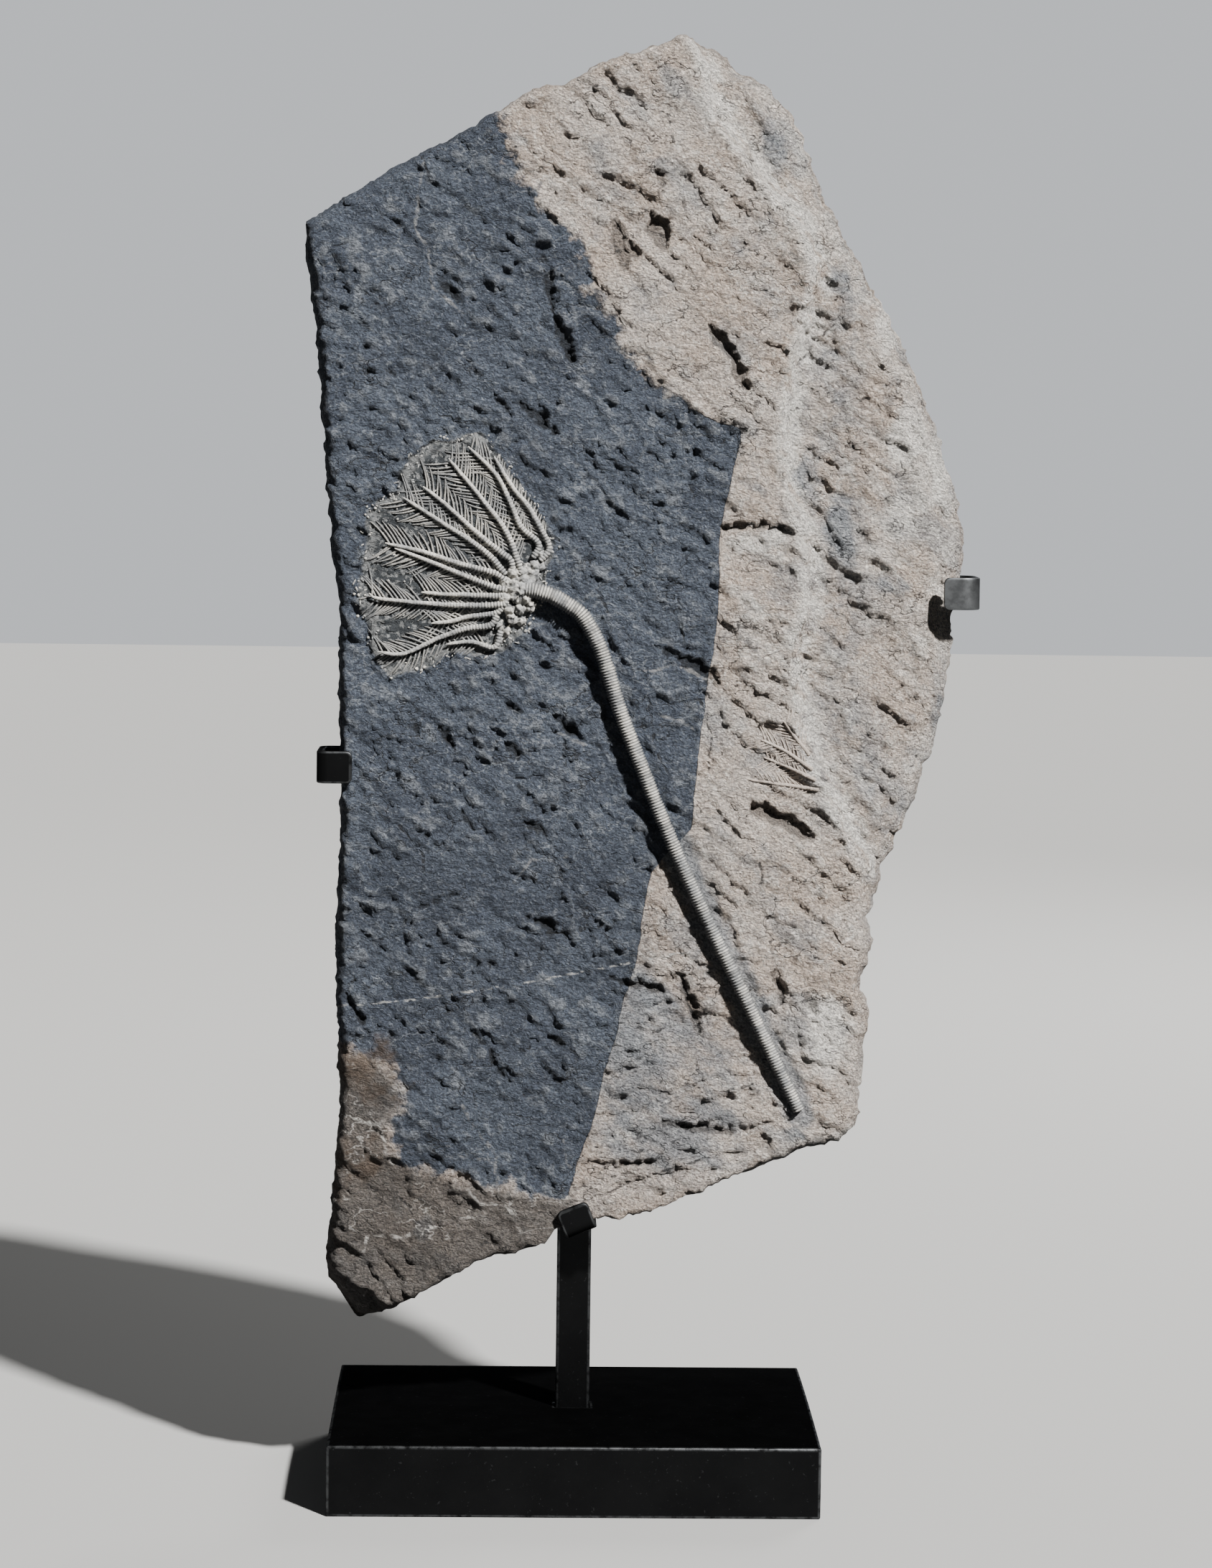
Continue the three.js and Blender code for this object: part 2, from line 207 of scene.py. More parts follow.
class Noise:
    """Smooth gradient noise, and the small flat facets of broken stone, from one seed."""

    SIZE = 256

    def __init__(self, seed):
        rng = np.random.default_rng(seed)
        self.order = rng.permutation(self.SIZE)
        turn = rng.random(self.SIZE) * 2 * math.pi
        self.slope = np.stack([np.cos(turn), np.sin(turn)], -1)
        self.cells = rng.random((self.SIZE, self.SIZE, 5))

    def smooth(self, x, z):
        x0, z0 = np.floor(x).astype(int), np.floor(z).astype(int)
        fx, fz = x - x0, z - z0
        wx, wz = [f * f * f * (f * (f * 6 - 15) + 10) for f in (fx, fz)]

        def corner(dx, dz):
            row = self.order[(x0 + dx) % self.SIZE]
            slope = self.slope[self.order[(row + z0 + dz) % self.SIZE]]
            return slope[..., 0] * (fx - dx) + slope[..., 1] * (fz - dz)

        near = corner(0, 0) * (1 - wx) + corner(1, 0) * wx
        far = corner(0, 1) * (1 - wx) + corner(1, 1) * wx
        return 1.5 * (near * (1 - wz) + far * wz)

    def cloud(self, x, z, size, octaves=4, rough=0.5):
        total, share, weight = 0, 1.0, 0.0
        for octave in range(octaves):
            scale = 2 ** octave / size
            total = total + share * self.smooth(x * scale + 17.3 * octave, z * scale)
            weight += share
            share *= rough
        return total / weight

    def facets(self, x, z, size, crisp=14.0):
        """Each cell is a small plane with its own height and tilt, from about -1 to 1."""
        gx, gz = x / size, z / size
        x0, z0 = np.floor(gx).astype(int), np.floor(gz).astype(int)
        total, weight = 0, 1e-9
        for dx in (-1, 0, 1):
            for dz in (-1, 0, 1):
                cell = self.cells[(x0 + dx) % self.SIZE, (z0 + dz) % self.SIZE]
                ox = gx - (x0 + dx + cell[..., 0])
                oz = gz - (z0 + dz + cell[..., 1])
                share = np.exp(-crisp * (ox * ox + oz * oz))
                plane = (cell[..., 2] - 0.5) + ox * (cell[..., 3] - 0.5) * 2
                plane = plane + oz * (cell[..., 4] - 0.5) * 2
                total = total + share * plane
                weight = weight + share
        return total / weight


def terraces(height, step, sharpness):
    """Breaks a smooth height into thin split layers."""
    level = height / step
    floor = np.floor(level)
    part = level - floor
    return step * (floor + smoothstep(sharpness / 2, 1 - sharpness / 2, part))


def from_line(x, z, line):
    """Distance to a line, which side (+ is right of its heading) and the share along it."""
    best = np.full(x.shape, 1e9)
    side = np.zeros(x.shape)
    along = np.zeros(x.shape)
    points = np.array(line, float)
    lengths = np.hypot(*(points[1:] - points[:-1]).T)
    run = np.concatenate([[0], np.cumsum(lengths)])
    for i, (a, b) in enumerate(zip(points[:-1], points[1:])):
        d = b - a
        t = np.clip(((x - a[0]) * d[0] + (z - a[1]) * d[1]) / (d @ d), 0, 1)
        ox, oz = x - (a[0] + t * d[0]), z - (a[1] + t * d[1])
        distance = np.hypot(ox, oz)
        closer = distance < best
        best = np.where(closer, distance, best)
        side = np.where(closer, np.sign(ox * d[1] - oz * d[0]), side)
        along = np.where(closer, (run[i] + t * lengths[i]) / run[-1], along)
    return best, side, along


def inside(x, z, outline):
    """True where a point lies inside a closed outline."""
    points = np.array(outline, float)
    result = np.zeros(x.shape, bool)
    for a, b in zip(points, np.roll(points, -1, 0)):
        crosses = (a[1] > z) != (b[1] > z)
        with np.errstate(divide="ignore", invalid="ignore"):
            at = (b[0] - a[0]) * (z - a[1]) / (b[1] - a[1]) + a[0]
        result ^= crosses & (x < at)
    return result


def depth_inside(x, z, outline):
    """Distance in from a closed outline, negative outside."""
    distance = from_line(x, z, list(outline) + [outline[0]])[0]
    return np.where(inside(x, z, outline), distance, -distance)


def curve_through(line, count):
    """Evenly spaced points on a smooth curve through a few given ones."""
    points = np.array(line, float)
    ends = np.vstack([2 * points[0] - points[1], points, 2 * points[-1] - points[-2]])
    pieces = []
    for a, b, c, d in zip(ends[:-3], ends[1:-2], ends[2:-1], ends[3:]):
        t = np.linspace(0, 1, 24, endpoint=False)[:, None]
        pieces.append(0.5 * (2 * b + (c - a) * t + (2 * a - 5 * b + 4 * c - d) * t ** 2
                             + (3 * b - a - 3 * c + d) * t ** 3))
    dense = np.vstack(pieces + [points[-1:]])
    run = np.concatenate([[0], np.cumsum(np.linalg.norm(np.diff(dense, axis=0), axis=1))])
    even = np.linspace(0, run[-1], count)
    return np.stack([np.interp(even, run, dense[:, k]) for k in range(points.shape[1])], -1)


def line_length(line):
    return np.linalg.norm(np.diff(curve_through(line, 200), axis=0), axis=1).sum()


# ---- mesh helpers ------------------------------------------------------------------------------


def new_piece(name, vertices, faces, smooth=True):
    """A mesh object from points in millimetres; its object stays at the origin."""
    mesh = bpy.data.meshes.new(name)
    mesh.from_pydata(np.asarray(vertices) * MM, [], faces)
    mesh.update()
    if smooth:
        mesh.shade_smooth()
    piece = bpy.data.objects.new(name, mesh)
    bpy.context.scene.collection.objects.link(piece)
    return piece


def give_attribute(piece, name, values):
    attribute = piece.data.attributes.new(name, "FLOAT", "POINT")
    attribute.data.foreach_set("value", np.asarray(values, np.float32))


def only(*pieces):
    """Selects these pieces and nothing else, with the first one active."""
    if bpy.context.object and bpy.context.object.mode != "OBJECT":
        bpy.ops.object.mode_set(mode="OBJECT")
    bpy.ops.object.select_all(action="DESELECT")
    for piece in pieces:
        piece.select_set(True)
    if pieces:
        bpy.context.view_layer.objects.active = pieces[0]


def ring_faces(rings, sides, start=0):
    """Quads round a tube of rings, and a fan of one face at each end, facing outwards."""
    index = start + np.arange(rings * sides).reshape(rings, sides)
    nxt = np.roll(index, -1, 1)
    quads = np.stack([index[:-1], nxt[:-1], nxt[1:], index[1:]], -1).reshape(-1, 4)
    return [list(q) for q in quads.tolist()] + [index[0][::-1].tolist(), index[-1].tolist()]


def rod_rings(path, radii, sides):
    """Rings of points round a path that lies along the slab's face."""
    path = np.asarray(path, float)
    radii = np.asarray(radii, float)
    if radii.ndim == 1:
        radii = np.repeat(radii[:, None], sides, 1)
    heading = np.gradient(path, axis=0)
    heading /= np.linalg.norm(heading, axis=1)[:, None]
    side = np.cross(heading, np.array([0, -1.0, 0]))
    side /= np.linalg.norm(side, axis=1)[:, None]
    top = np.cross(side, heading)
    turn = np.arange(sides) / sides * 2 * math.pi
    ring = (np.cos(turn)[None, :, None] * side[:, None, :]
            + np.sin(turn)[None, :, None] * top[:, None, :])
    return path[:, None, :] + ring * radii[..., None]


# ---- the slab ------------------------------------------------------------------------------------

GRAIN_TURN = math.radians(-38)      # the stone's grain falls to the right across the face
# forms of the face, the rim and the back: heights, depths and places in millimetres; slopes
PIT_DEPTH = 1.8
CREST_HEIGHT = 1.4
LAYER_DROP = 9.0                    # just beyond the crest
LAYER_RECOVERY = 3.0                # further out
LEDGE_Z, LEDGE_DROP = 606.5, 2.8
STREAK_HEIGHT = 2.4
RIB_HEIGHT = 2.6
SPLIT_DROP = 2.6
BESIDE_STEM = {"below": 1.7, "above": 1.8}
HOOK_SEAT = 0.4                     # how far the edge is cut back where it rests on the hook
BED_PITCH = 2.1                     # thickness of the beds seen on the rim
BACK_ROUNDING = 0.8
CORNER_SLOPE = 0.14
CHIP_SLOPE, CHIP_WIDTH = 0.95, 22
CHIP_POINT, CHIP_WAY = (-150.5, 140.5), (0.563, 0.826)
ROCK = Noise(11)
ROCK_FINE = Noise(12)
RIM_NOISE = Noise(13)


def with_grain(x, z, stretch):
    """Coordinates along and across the grain, with the grain's direction drawn out."""
    along = x * math.cos(GRAIN_TURN) + z * math.sin(GRAIN_TURN)
    across = z * math.cos(GRAIN_TURN) - x * math.sin(GRAIN_TURN)
    return along / stretch, across


def tan_distance(x, z):
    """How far a point lies into the tan weathered stone; negative in the dark stone."""
    wander = ROCK.cloud(x, z, 22, 4)
    distance, side, _ = from_line(x, z, UPPER_SEAM + LOWER_SEAM[1:])
    natural = smoothstep(655, 690, z)
    right = -side * distance + wander * (0.5 + 11 * natural)
    distance, side, _ = from_line(x, z, CORNER_SEAM)
    corner = -side * distance + wander * 9
    corner = np.where(x < 0, corner, -1e3)
    return np.maximum(right, corner)


def gouge_depth(x, z):
    """Depth of the torn pits: steep on the side that faces up and right, shallow on the other."""
    wx = x + 2.6 * ROCK.cloud(x, z, 13, 3, 0.6) + 1.3 * ROCK_FINE.smooth(x / 4, z / 4)
    wz = z + 2.6 * ROCK.cloud(z + 40, x, 13, 3, 0.6) + 1.3 * ROCK_FINE.smooth(z / 4, x / 4 + 9)
    depth = np.zeros(x.shape)
    for number, (start, end, width, deep) in enumerate(GOUGES):
        distance, side, along = from_line(wx, wz, [start, end])
        direction = np.array(end, float) - start
        lit_side = side * np.sign(direction[1] - direction[0] + 1e-6)
        reach = np.hypot(*direction)
        swell = 1 + 0.75 * ROCK_FINE.smooth(along * reach / 7, np.full(x.shape, number * 3.1))
        half = width * swell * (0.30 + 0.32 * np.sin(math.pi * along))
        steep = smoothstep(1.15 * half, 0.65 * half, distance)
        gentle = smoothstep(1.7 * half, 0.1 * half, distance) ** 1.4
        deep_here = deep * (1 + 0.5 * ROCK_FINE.smooth(along * reach / 9 + 5, np.full(x.shape, number)))
        depth = np.maximum(depth, deep_here * np.where(lit_side > 0, steep, gentle))
    return depth


def broken_stone(x, z, u, v, on_tan):
    """Flakes, pits and small scarps; the tan stone has fewer flakes and larger forms."""
    flakes = 1.75 * ROCK.facets(u, v, 8.2, 24) + 1.45 * ROCK_FINE.facets(u, v, 4.6, 24)
    grit = 0.45 * ROCK_FINE.cloud(u, v, 4.2, 2)
    speck = ROCK_FINE.cloud(u * 0.7, v * 1.5, 11, 4, 0.6)
    strewn = smoothstep(-0.15, 0.3, ROCK.cloud(x, z, 70, 2) + 0.1)
    pits = -PIT_DEPTH * smoothstep(0.36, 0.46, speck) * (0.2 + 0.8 * strewn) * (1 - on_tan)
    scars = terraces(3.0 * ROCK.cloud(u * 0.7, v * 1.5, 22, 4, 0.55), 1.0, 0.6)
    fine = (flakes + grit) * (0.75 + 0.4 * strewn - 0.45 * on_tan)
    level = v / 13 + 1.3 * ROCK_FINE.cloud(u, v, 46, 4, 0.55)
    shelf = (z - 0.12 * x) / 14 + 0.9 * ROCK_FINE.cloud(x, z * 1.6, 40, 4, 0.6)
    low_right = smoothstep(345, 320, z) * smoothstep(-10, 12, x) * smoothstep(135, 110, x)
    rise = np.where(low_right > 0.5, shelf - np.floor(shelf), level - np.floor(level))
    bold = 0.3 + 0.9 * smoothstep(-0.2, 0.3, ROCK.cloud(x, z, 46, 3)) + 0.3 * low_right
    scarps = (1.2 + 0.9 * on_tan) * bold * (0.5 - rise) * smoothstep(0, 0.1, rise)
    broken = pits + 0.42 * scars * on_tan + scarps
    broken = broken + on_tan * (2.6 * ROCK.cloud(x + 90, z, 64, 3) + 1.9 * ROCK.facets(u, v, 27, 16))
    return fine, pits, broken


def lower_layer(x, z, on_tan):
    """The step down past the crest, with its streaks and ribs, and how far beyond a point is."""
    distance, side, _ = from_line(x, z, LAYER_EDGE)
    beyond = -side * distance + 5 * ROCK.cloud(x, z, 30, 3) + 2.5 * ROCK_FINE.cloud(x, z, 9, 3, 0.6)
    lower = CREST_HEIGHT * np.exp(-((beyond + 3) / 5) ** 2)
    lower = lower - LAYER_DROP * smoothstep(-3, 9, beyond) + LAYER_RECOVERY * smoothstep(13, 38, beyond)
    above_ledge = z - LEDGE_Z + 1.5 * ROCK_FINE.cloud(x, z, 10, 3)
    ledge = smoothstep(82, 88, x) * smoothstep(132, 122, x) * smoothstep(0.9, -0.9, above_ledge)
    lower = lower - LEDGE_DROP * ledge * smoothstep(-50, -4, above_ledge)
    streak_u = (x * 0.75 + z * 0.45) / 5.0
    streaks = 0.35 - np.abs(ROCK_FINE.cloud(streak_u, (z - 0.5 * x) / 24, 1.0, 3))
    lower = lower + STREAK_HEIGHT * streaks * np.exp(-((beyond - 5) / 13) ** 2)
    far_u, far_v = (x + 0.35 * z) / 22, (z - 0.6 * x) / 46
    ribs = RIB_HEIGHT * (0.3 - np.abs(ROCK.cloud(far_u, far_v, 1.0, 4, 0.55)))
    lower = lower + ribs * on_tan * smoothstep(-90, -20, x) * (0.55 + 0.45 * smoothstep(0, 20, beyond))
    return beyond, lower


def rim_fall(x, z, rim, upper_right):
    """The face rolls over near the rim, and the lower left corner slopes away and is chipped."""
    left = smoothstep(-95, -120, x)
    roll_width = 3.5 + 11 * upper_right + 1.5 * left + 4 * RIM_NOISE.cloud(x, z, 24, 3)
    roll_depth = 1.6 + 7.5 * upper_right + 3.6 * left
    into_roll = 1 - np.clip(rim / np.maximum(roll_width, 2.0), 0, 1)
    roll = -roll_depth * into_roll ** (1.6 - 0.5 * upper_right)
    fall = -CORNER_SLOPE * np.clip(-x - 60, 0, 100) * smoothstep(-10, 40, 215 - z)
    past_chip = (CHIP_POINT[0] - x) * CHIP_WAY[0] + (CHIP_POINT[1] - z) * CHIP_WAY[1]
    past_chip = past_chip + 1.5 * RIM_NOISE.cloud(x, z, 10, 3)
    return roll, fall - CHIP_SLOPE * np.clip(past_chip, 0, CHIP_WIDTH)


def face_relief(x, z, rim):
    """Height of the split face in front of its plane, and the masks that colour it."""
    warp_x = x + 5 * ROCK.cloud(x, z, 30, 2) + 1.6 * ROCK_FINE.smooth(x / 7, z / 7)
    warp_z = z + 5 * ROCK.cloud(z, x, 30, 2) + 1.6 * ROCK_FINE.smooth(z / 7, x / 7 + 5)
    u, v = with_grain(warp_x, warp_z, 1.7)
    tan = tan_distance(x, z)
    on_tan = smoothstep(-2, 2, tan)
    crown = depth_inside(x, z, CROWN_OUTLINE) + 2.2 * ROCK_FINE.cloud(x, z, 7, 2)
    in_crown = smoothstep(-1.0, 1.5, crown)

    broad = 1.7 * ROCK.cloud(x, z, 150, 3) + 1.3 * ROCK.cloud(u, v, 48, 3)
    layers = terraces(3.0 * ROCK_FINE.cloud(u, v, 42, 5, 0.5), 0.75, 0.75)
    fine, pits, broken = broken_stone(x, z, u, v, on_tan)
    gouged = -gouge_depth(x, z)
    beyond, lower = lower_layer(x, z, on_tan)
    distance, side, _ = from_line(x, z, SPLIT_EDGE)
    split_side = -side * distance + 2.0 * ROCK_FINE.cloud(x, z, 9, 2)
    split = -SPLIT_DROP * smoothstep(-1.2, 1.4, split_side) * np.exp(-distance / 45)

    from_stem, side, along = from_line(x, z, STEM_LINE)
    moat = -np.where(side > 0, BESIDE_STEM["below"] * smoothstep(40, 12, from_stem),
                     BESIDE_STEM["above"] * smoothstep(12, 6, from_stem))
    moat *= smoothstep(0.0, 0.04, along) * smoothstep(1.0, 0.95, along)
    halo = -1.0 * np.exp(-((crown + 4.5) / 3.2) ** 2)
    raised = 0.7 * in_crown + 1.3 * in_crown * ROCK_FINE.facets(x, z, 2.8, 20)
    upper_right = smoothstep(30, 140, x) * smoothstep(300, 420, z)
    rim_roll, fall = rim_fall(x, z, rim, upper_right)

    calm = 1 - 0.82 * in_crown
    near_stem = np.exp(-(from_stem / 7.0) ** 2)
    height = (broad + layers * calm * (1 - 0.6 * near_stem)
              + (fine + broken) * calm * (1 - 0.5 * near_stem) + gouged * (1 - in_crown)
              + lower + split + moat + halo + raised + rim_roll + fall)
    masks = {
        "tan": tan / seam_softness(x, z),
        "crown": np.clip(crown, -20, 20),
        "relief": np.clip(np.maximum(fine / 1.6, -0.2) * calm + (pits + gouged) / 1.6, -2.5, 1),
        "stem_distance": from_stem,
        "layer": np.clip(beyond, -40, 90),
        # lime and painted highlight on the upper right rim, which faces the light
        "lime_and_highlight": upper_right * smoothstep(13, 3, rim + 3 * RIM_NOISE.cloud(x, z, 12, 3)),
        "corner": corner_mask(x, z),
        "vein": from_line(x, z, WHITE_VEIN)[0] + 0.8 * ROCK_FINE.cloud(x, z, 8, 3),
        "crack": nearest_line(x, z, PALE_LINES) + 0.8 * ROCK_FINE.cloud(x, z, 8, 3),
        "dark_line": nearest_line(x, z, DARK_LINES) + 0.9 * ROCK_FINE.cloud(z, x, 7, 3),
        "ochre": ochre_mask(x, z),
        "tone": tone_mask(x, z),
    }
    return height, masks


def tone_mask(x, z):
    """Pale areas above 0, some of them painted highlight, and blue-grey ones below it."""
    wx = x + 9 * ROCK.cloud(x, z, 26, 4, 0.6)
    wz = z + 9 * ROCK.cloud(z + 70, x, 26, 4, 0.6)
    total = np.zeros(x.shape)
    for cx, cz, rx, rz, strength in TONES:
        total = total + strength * smoothstep(1.45, 0.35, np.hypot((wx - cx) / rx, (wz - cz) / rz))
    return np.clip(total, -1.5, 1.2)


def seam_softness(x, z):
    """How gradual the change of colour is: small along the crisp seam, more elsewhere."""
    upper = smoothstep(664, 700, z)
    corner = smoothstep(5, -30, x) * smoothstep(320, 295, z)
    return 0.5 + 4.5 * upper + 3 * corner


def nearest_line(x, z, lines):
    """Distance to the nearest of some wandering lines."""
    wx = x + 2.4 * ROCK_FINE.cloud(x, z, 9, 3, 0.6)
    wz = z + 2.4 * ROCK_FINE.cloud(z + 30, x, 9, 3, 0.6)
    return np.minimum.reduce([from_line(wx, wz, line)[0] for line in lines])


def corner_mask(x, z):
    """The brown lower left corner, from 0 to 1."""
    distance, side, _ = from_line(x, z, CORNER_SEAM)
    return np.where(x < 0, smoothstep(-6, 10, -side * distance), 0.0)


def ochre_mask(x, z):
    """Iron stain in the lower left corner, from 0 to 1."""
    wander = ROCK.cloud(x, z, 14, 4)
    total = np.zeros(x.shape)
    for cx, cz, rx, rz in STAINS:
        reach = np.hypot((x - cx) / rx, (z - cz) / rz) + 1.3 * wander
        total = np.maximum(total, smoothstep(1.1, 0.55, reach))
    return total


def clear_of_straps(x, z, height):
    """The height, lowered where the straps' front leaves lie over the face."""
    left, right, hook = (node_box(node) for node in ("left_strap", "right_strap", "bottom_hook"))
    leaves = [
        (left[0][0], left[0][0] + 22, left[0][2], left[1][2]),
        (right[1][0] - 23, right[1][0], right[0][2], right[1][2]),
        (hook[0][0], hook[1][0], hook[0][2], hook[0][2] + 27),
    ]
    for x_low, x_high, z_low, z_high in leaves:
        out_x = np.maximum(np.maximum(x_low - x, x - x_high), 0)
        out_z = np.maximum(np.maximum(z_low - z, z - z_high), 0)
        over = smoothstep(7, 2, np.hypot(out_x, out_z))
        height = height * (1 - over) + np.minimum(height, -0.2) * over
    return height


def slab_outline():
    """The slab's outline half way through its thickness, cut from the CAD node."""
    bm = bmesh.new()
    bm.from_mesh(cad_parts["slab"].data)
    bmesh.ops.remove_doubles(bm, verts=bm.verts[:], dist=0.01 * MM)
    cut = bmesh.ops.bisect_plane(
        bm, geom=bm.verts[:] + bm.edges[:] + bm.faces[:],
        plane_co=(0, (FACE_Y + 0.55 * THICKNESS) * MM, 0), plane_no=(0, 1, 0))
    edges = [part for part in cut["geom_cut"] if isinstance(part, bmesh.types.BMEdge)]
    links = {}
    for edge in edges:
        a, b = edge.verts
        links.setdefault(a, []).append(b)
        links.setdefault(b, []).append(a)
    start = here = min(links, key=lambda v: v.co.z)
    before, loop = None, []
    while True:
        loop.append((here.co.x / MM, here.co.z / MM))
        ahead = [v for v in links[here] if v is not before]
        before, here = here, ahead[0]
        if here is start:
            break
    bm.free()
    points = np.array(loop)
    nxt = np.roll(points, -1, 0)
    area = (points[:, 0] * nxt[:, 1] - nxt[:, 0] * points[:, 1]).sum()
    return points if area > 0 else points[::-1]


def resampled_loop(points, spacing):
    closed = np.vstack([points, points[:1]])
    run = np.concatenate([[0], np.cumsum(np.linalg.norm(np.diff(closed, axis=0), axis=1))])
    even = np.linspace(0, run[-1], int(run[-1] / spacing), endpoint=False)
    return np.stack([np.interp(even, run, closed[:, k]) for k in (0, 1)], -1)


def loop_normals(points, reach):
    tangent = np.roll(points, -reach, 0) - np.roll(points, reach, 0)
    tangent /= np.linalg.norm(tangent, axis=1)[:, None]
    return np.stack([tangent[:, 1], -tangent[:, 0]], -1)


def fill_loop(rim, spacing, seed, margin=0.62):
    """Triangles that fill a closed loop: the loop's points first, then jittered inner ones."""
    low, high = rim.min(0), rim.max(0)
    rows = np.arange(low[1], high[1], spacing * 0.866)
    columns = np.arange(low[0], high[0], spacing)
    x, z = np.meshgrid(columns, rows)
    x = x + spacing / 2 * (np.arange(len(rows)) % 2)[:, None]
    rng = np.random.default_rng(seed)
    x = (x + rng.uniform(-0.22, 0.22, x.shape) * spacing).ravel()
    z = (z + rng.uniform(-0.22, 0.22, z.shape) * spacing).ravel()
    coarse = rim[::2]
    keep = depth_inside(x, z, coarse) > margin * spacing
    points = np.vstack([rim, np.stack([x[keep], z[keep]], -1)])
    count = len(rim)
    edges = [(i, (i + 1) % count) for i in range(count)]
    found = delaunay_2d_cdt([Vector(p) for p in points], edges, [], 1, 1e-5)
    place = {}
    for new, old in enumerate(found[3]):
        for index in old:
            place[index] = new
    new_points = np.array([tuple(p) for p in found[0]])
    order = [place[i] for i in range(count)]
    return new_points, found[2], np.array(order)


def ragged_edge(settings):
    """The broken outline, its outward normals and where it is smooth over the hook."""
    edge = resampled_loop(slab_outline(), settings.rim_step)
    normal = loop_normals(edge, 4)
    x, z = edge.T
    low, high = node_box("bottom_hook")
    on_hook = smoothstep(9, 3, np.abs(x - (low[0] + high[0]) / 2) - STRAP_WIDTH / 2)
    on_hook = on_hook * smoothstep(high[2] + 6, high[2], z)
    lively = smoothstep(-60, 60, x)
    ragged = ((0.5 + 1.0 * lively) * RIM_NOISE.cloud(x, z, 42, 3)
              + (0.7 + 1.1 * lively) * RIM_NOISE.facets(x, z, 11)
              + (0.9 + 0.4 * lively) * RIM_NOISE.facets(x, z, 5, 20))
    broken = edge + normal * (ragged * (1 - on_hook) - HOOK_SEAT * on_hook)[:, None]
    return x, z, broken, normal, on_hook


def slab_wall(rows, x, z, front_rim, edge, back_rim, normal, rim_y, on_hook):
    """Rows of points from the front rim to the back one, with thin beds and chips."""
    wall = []
    for t in np.linspace(0, 1, rows + 1)[1:-1]:
        full = smoothstep(0, 0.16, t)
        back = smoothstep(1, 0.88, t)
        place = front_rim + (edge - front_rim) * full + (back_rim - edge) * (1 - back)
        y = rim_y + (BACK_Y - BACK_ROUNDING - rim_y) * t
        bed = y / BED_PITCH + 0.35 * RIM_NOISE.cloud(x, z, 60, 2)
        strata = 0.9 * RIM_NOISE.cloud(bed, bed * 0.37 + 9, 1.3, 2)
        chips = 1.3 * RIM_NOISE.facets(x + z, y * 3.2, 12) + 0.5 * RIM_NOISE.cloud(x + z, y * 2, 4)
        out = (strata + chips) * full * back * (1 - on_hook)
        place = place + normal * out[:, None]
        wall.append(np.stack([place[:, 0], y, place[:, 1]], -1))
    return wall


def back_face(x, z):
    """Points of the rough back, and the relief that shades it."""
    u, v = with_grain(x, z, 1.6)
    relief = 1.1 * RIM_NOISE.facets(u, v, 16, 20) - 0.4
    rough = (1.6 + 0.9 * ROCK.cloud(x, z, 120, 3) + 1.2 * RIM_NOISE.facets(u, v, 38)
             + 1.5 * relief + terraces(3.0 * RIM_NOISE.cloud(u, v, 60, 4), 1.1, 0.6))
    return np.stack([x, BACK_Y - np.maximum(rough, 0.15), z], -1), relief


def edge_and_back_masks(x, z, back_relief):
    """The colour masks of the wall and the back."""
    count = len(x)
    masks = {
        "tan": tan_distance(x, z) / 4, "crown": np.full(count, -20.0),
        "relief": np.concatenate([np.zeros(count - len(back_relief)), 0.5 * back_relief]),
        "layer": np.full(count, -40.0), "lime_and_highlight": 0.5 * smoothstep(30, 140, x),
        "corner": corner_mask(x, z), "vein": from_line(x, z, WHITE_VEIN)[0],
        "ochre": ochre_mask(x, z), "tone": tone_mask(x, z),
    }
    for absent in ("stem_distance", "dark_line", "crack"):
        masks[absent] = np.full(count, FAR)
    return masks


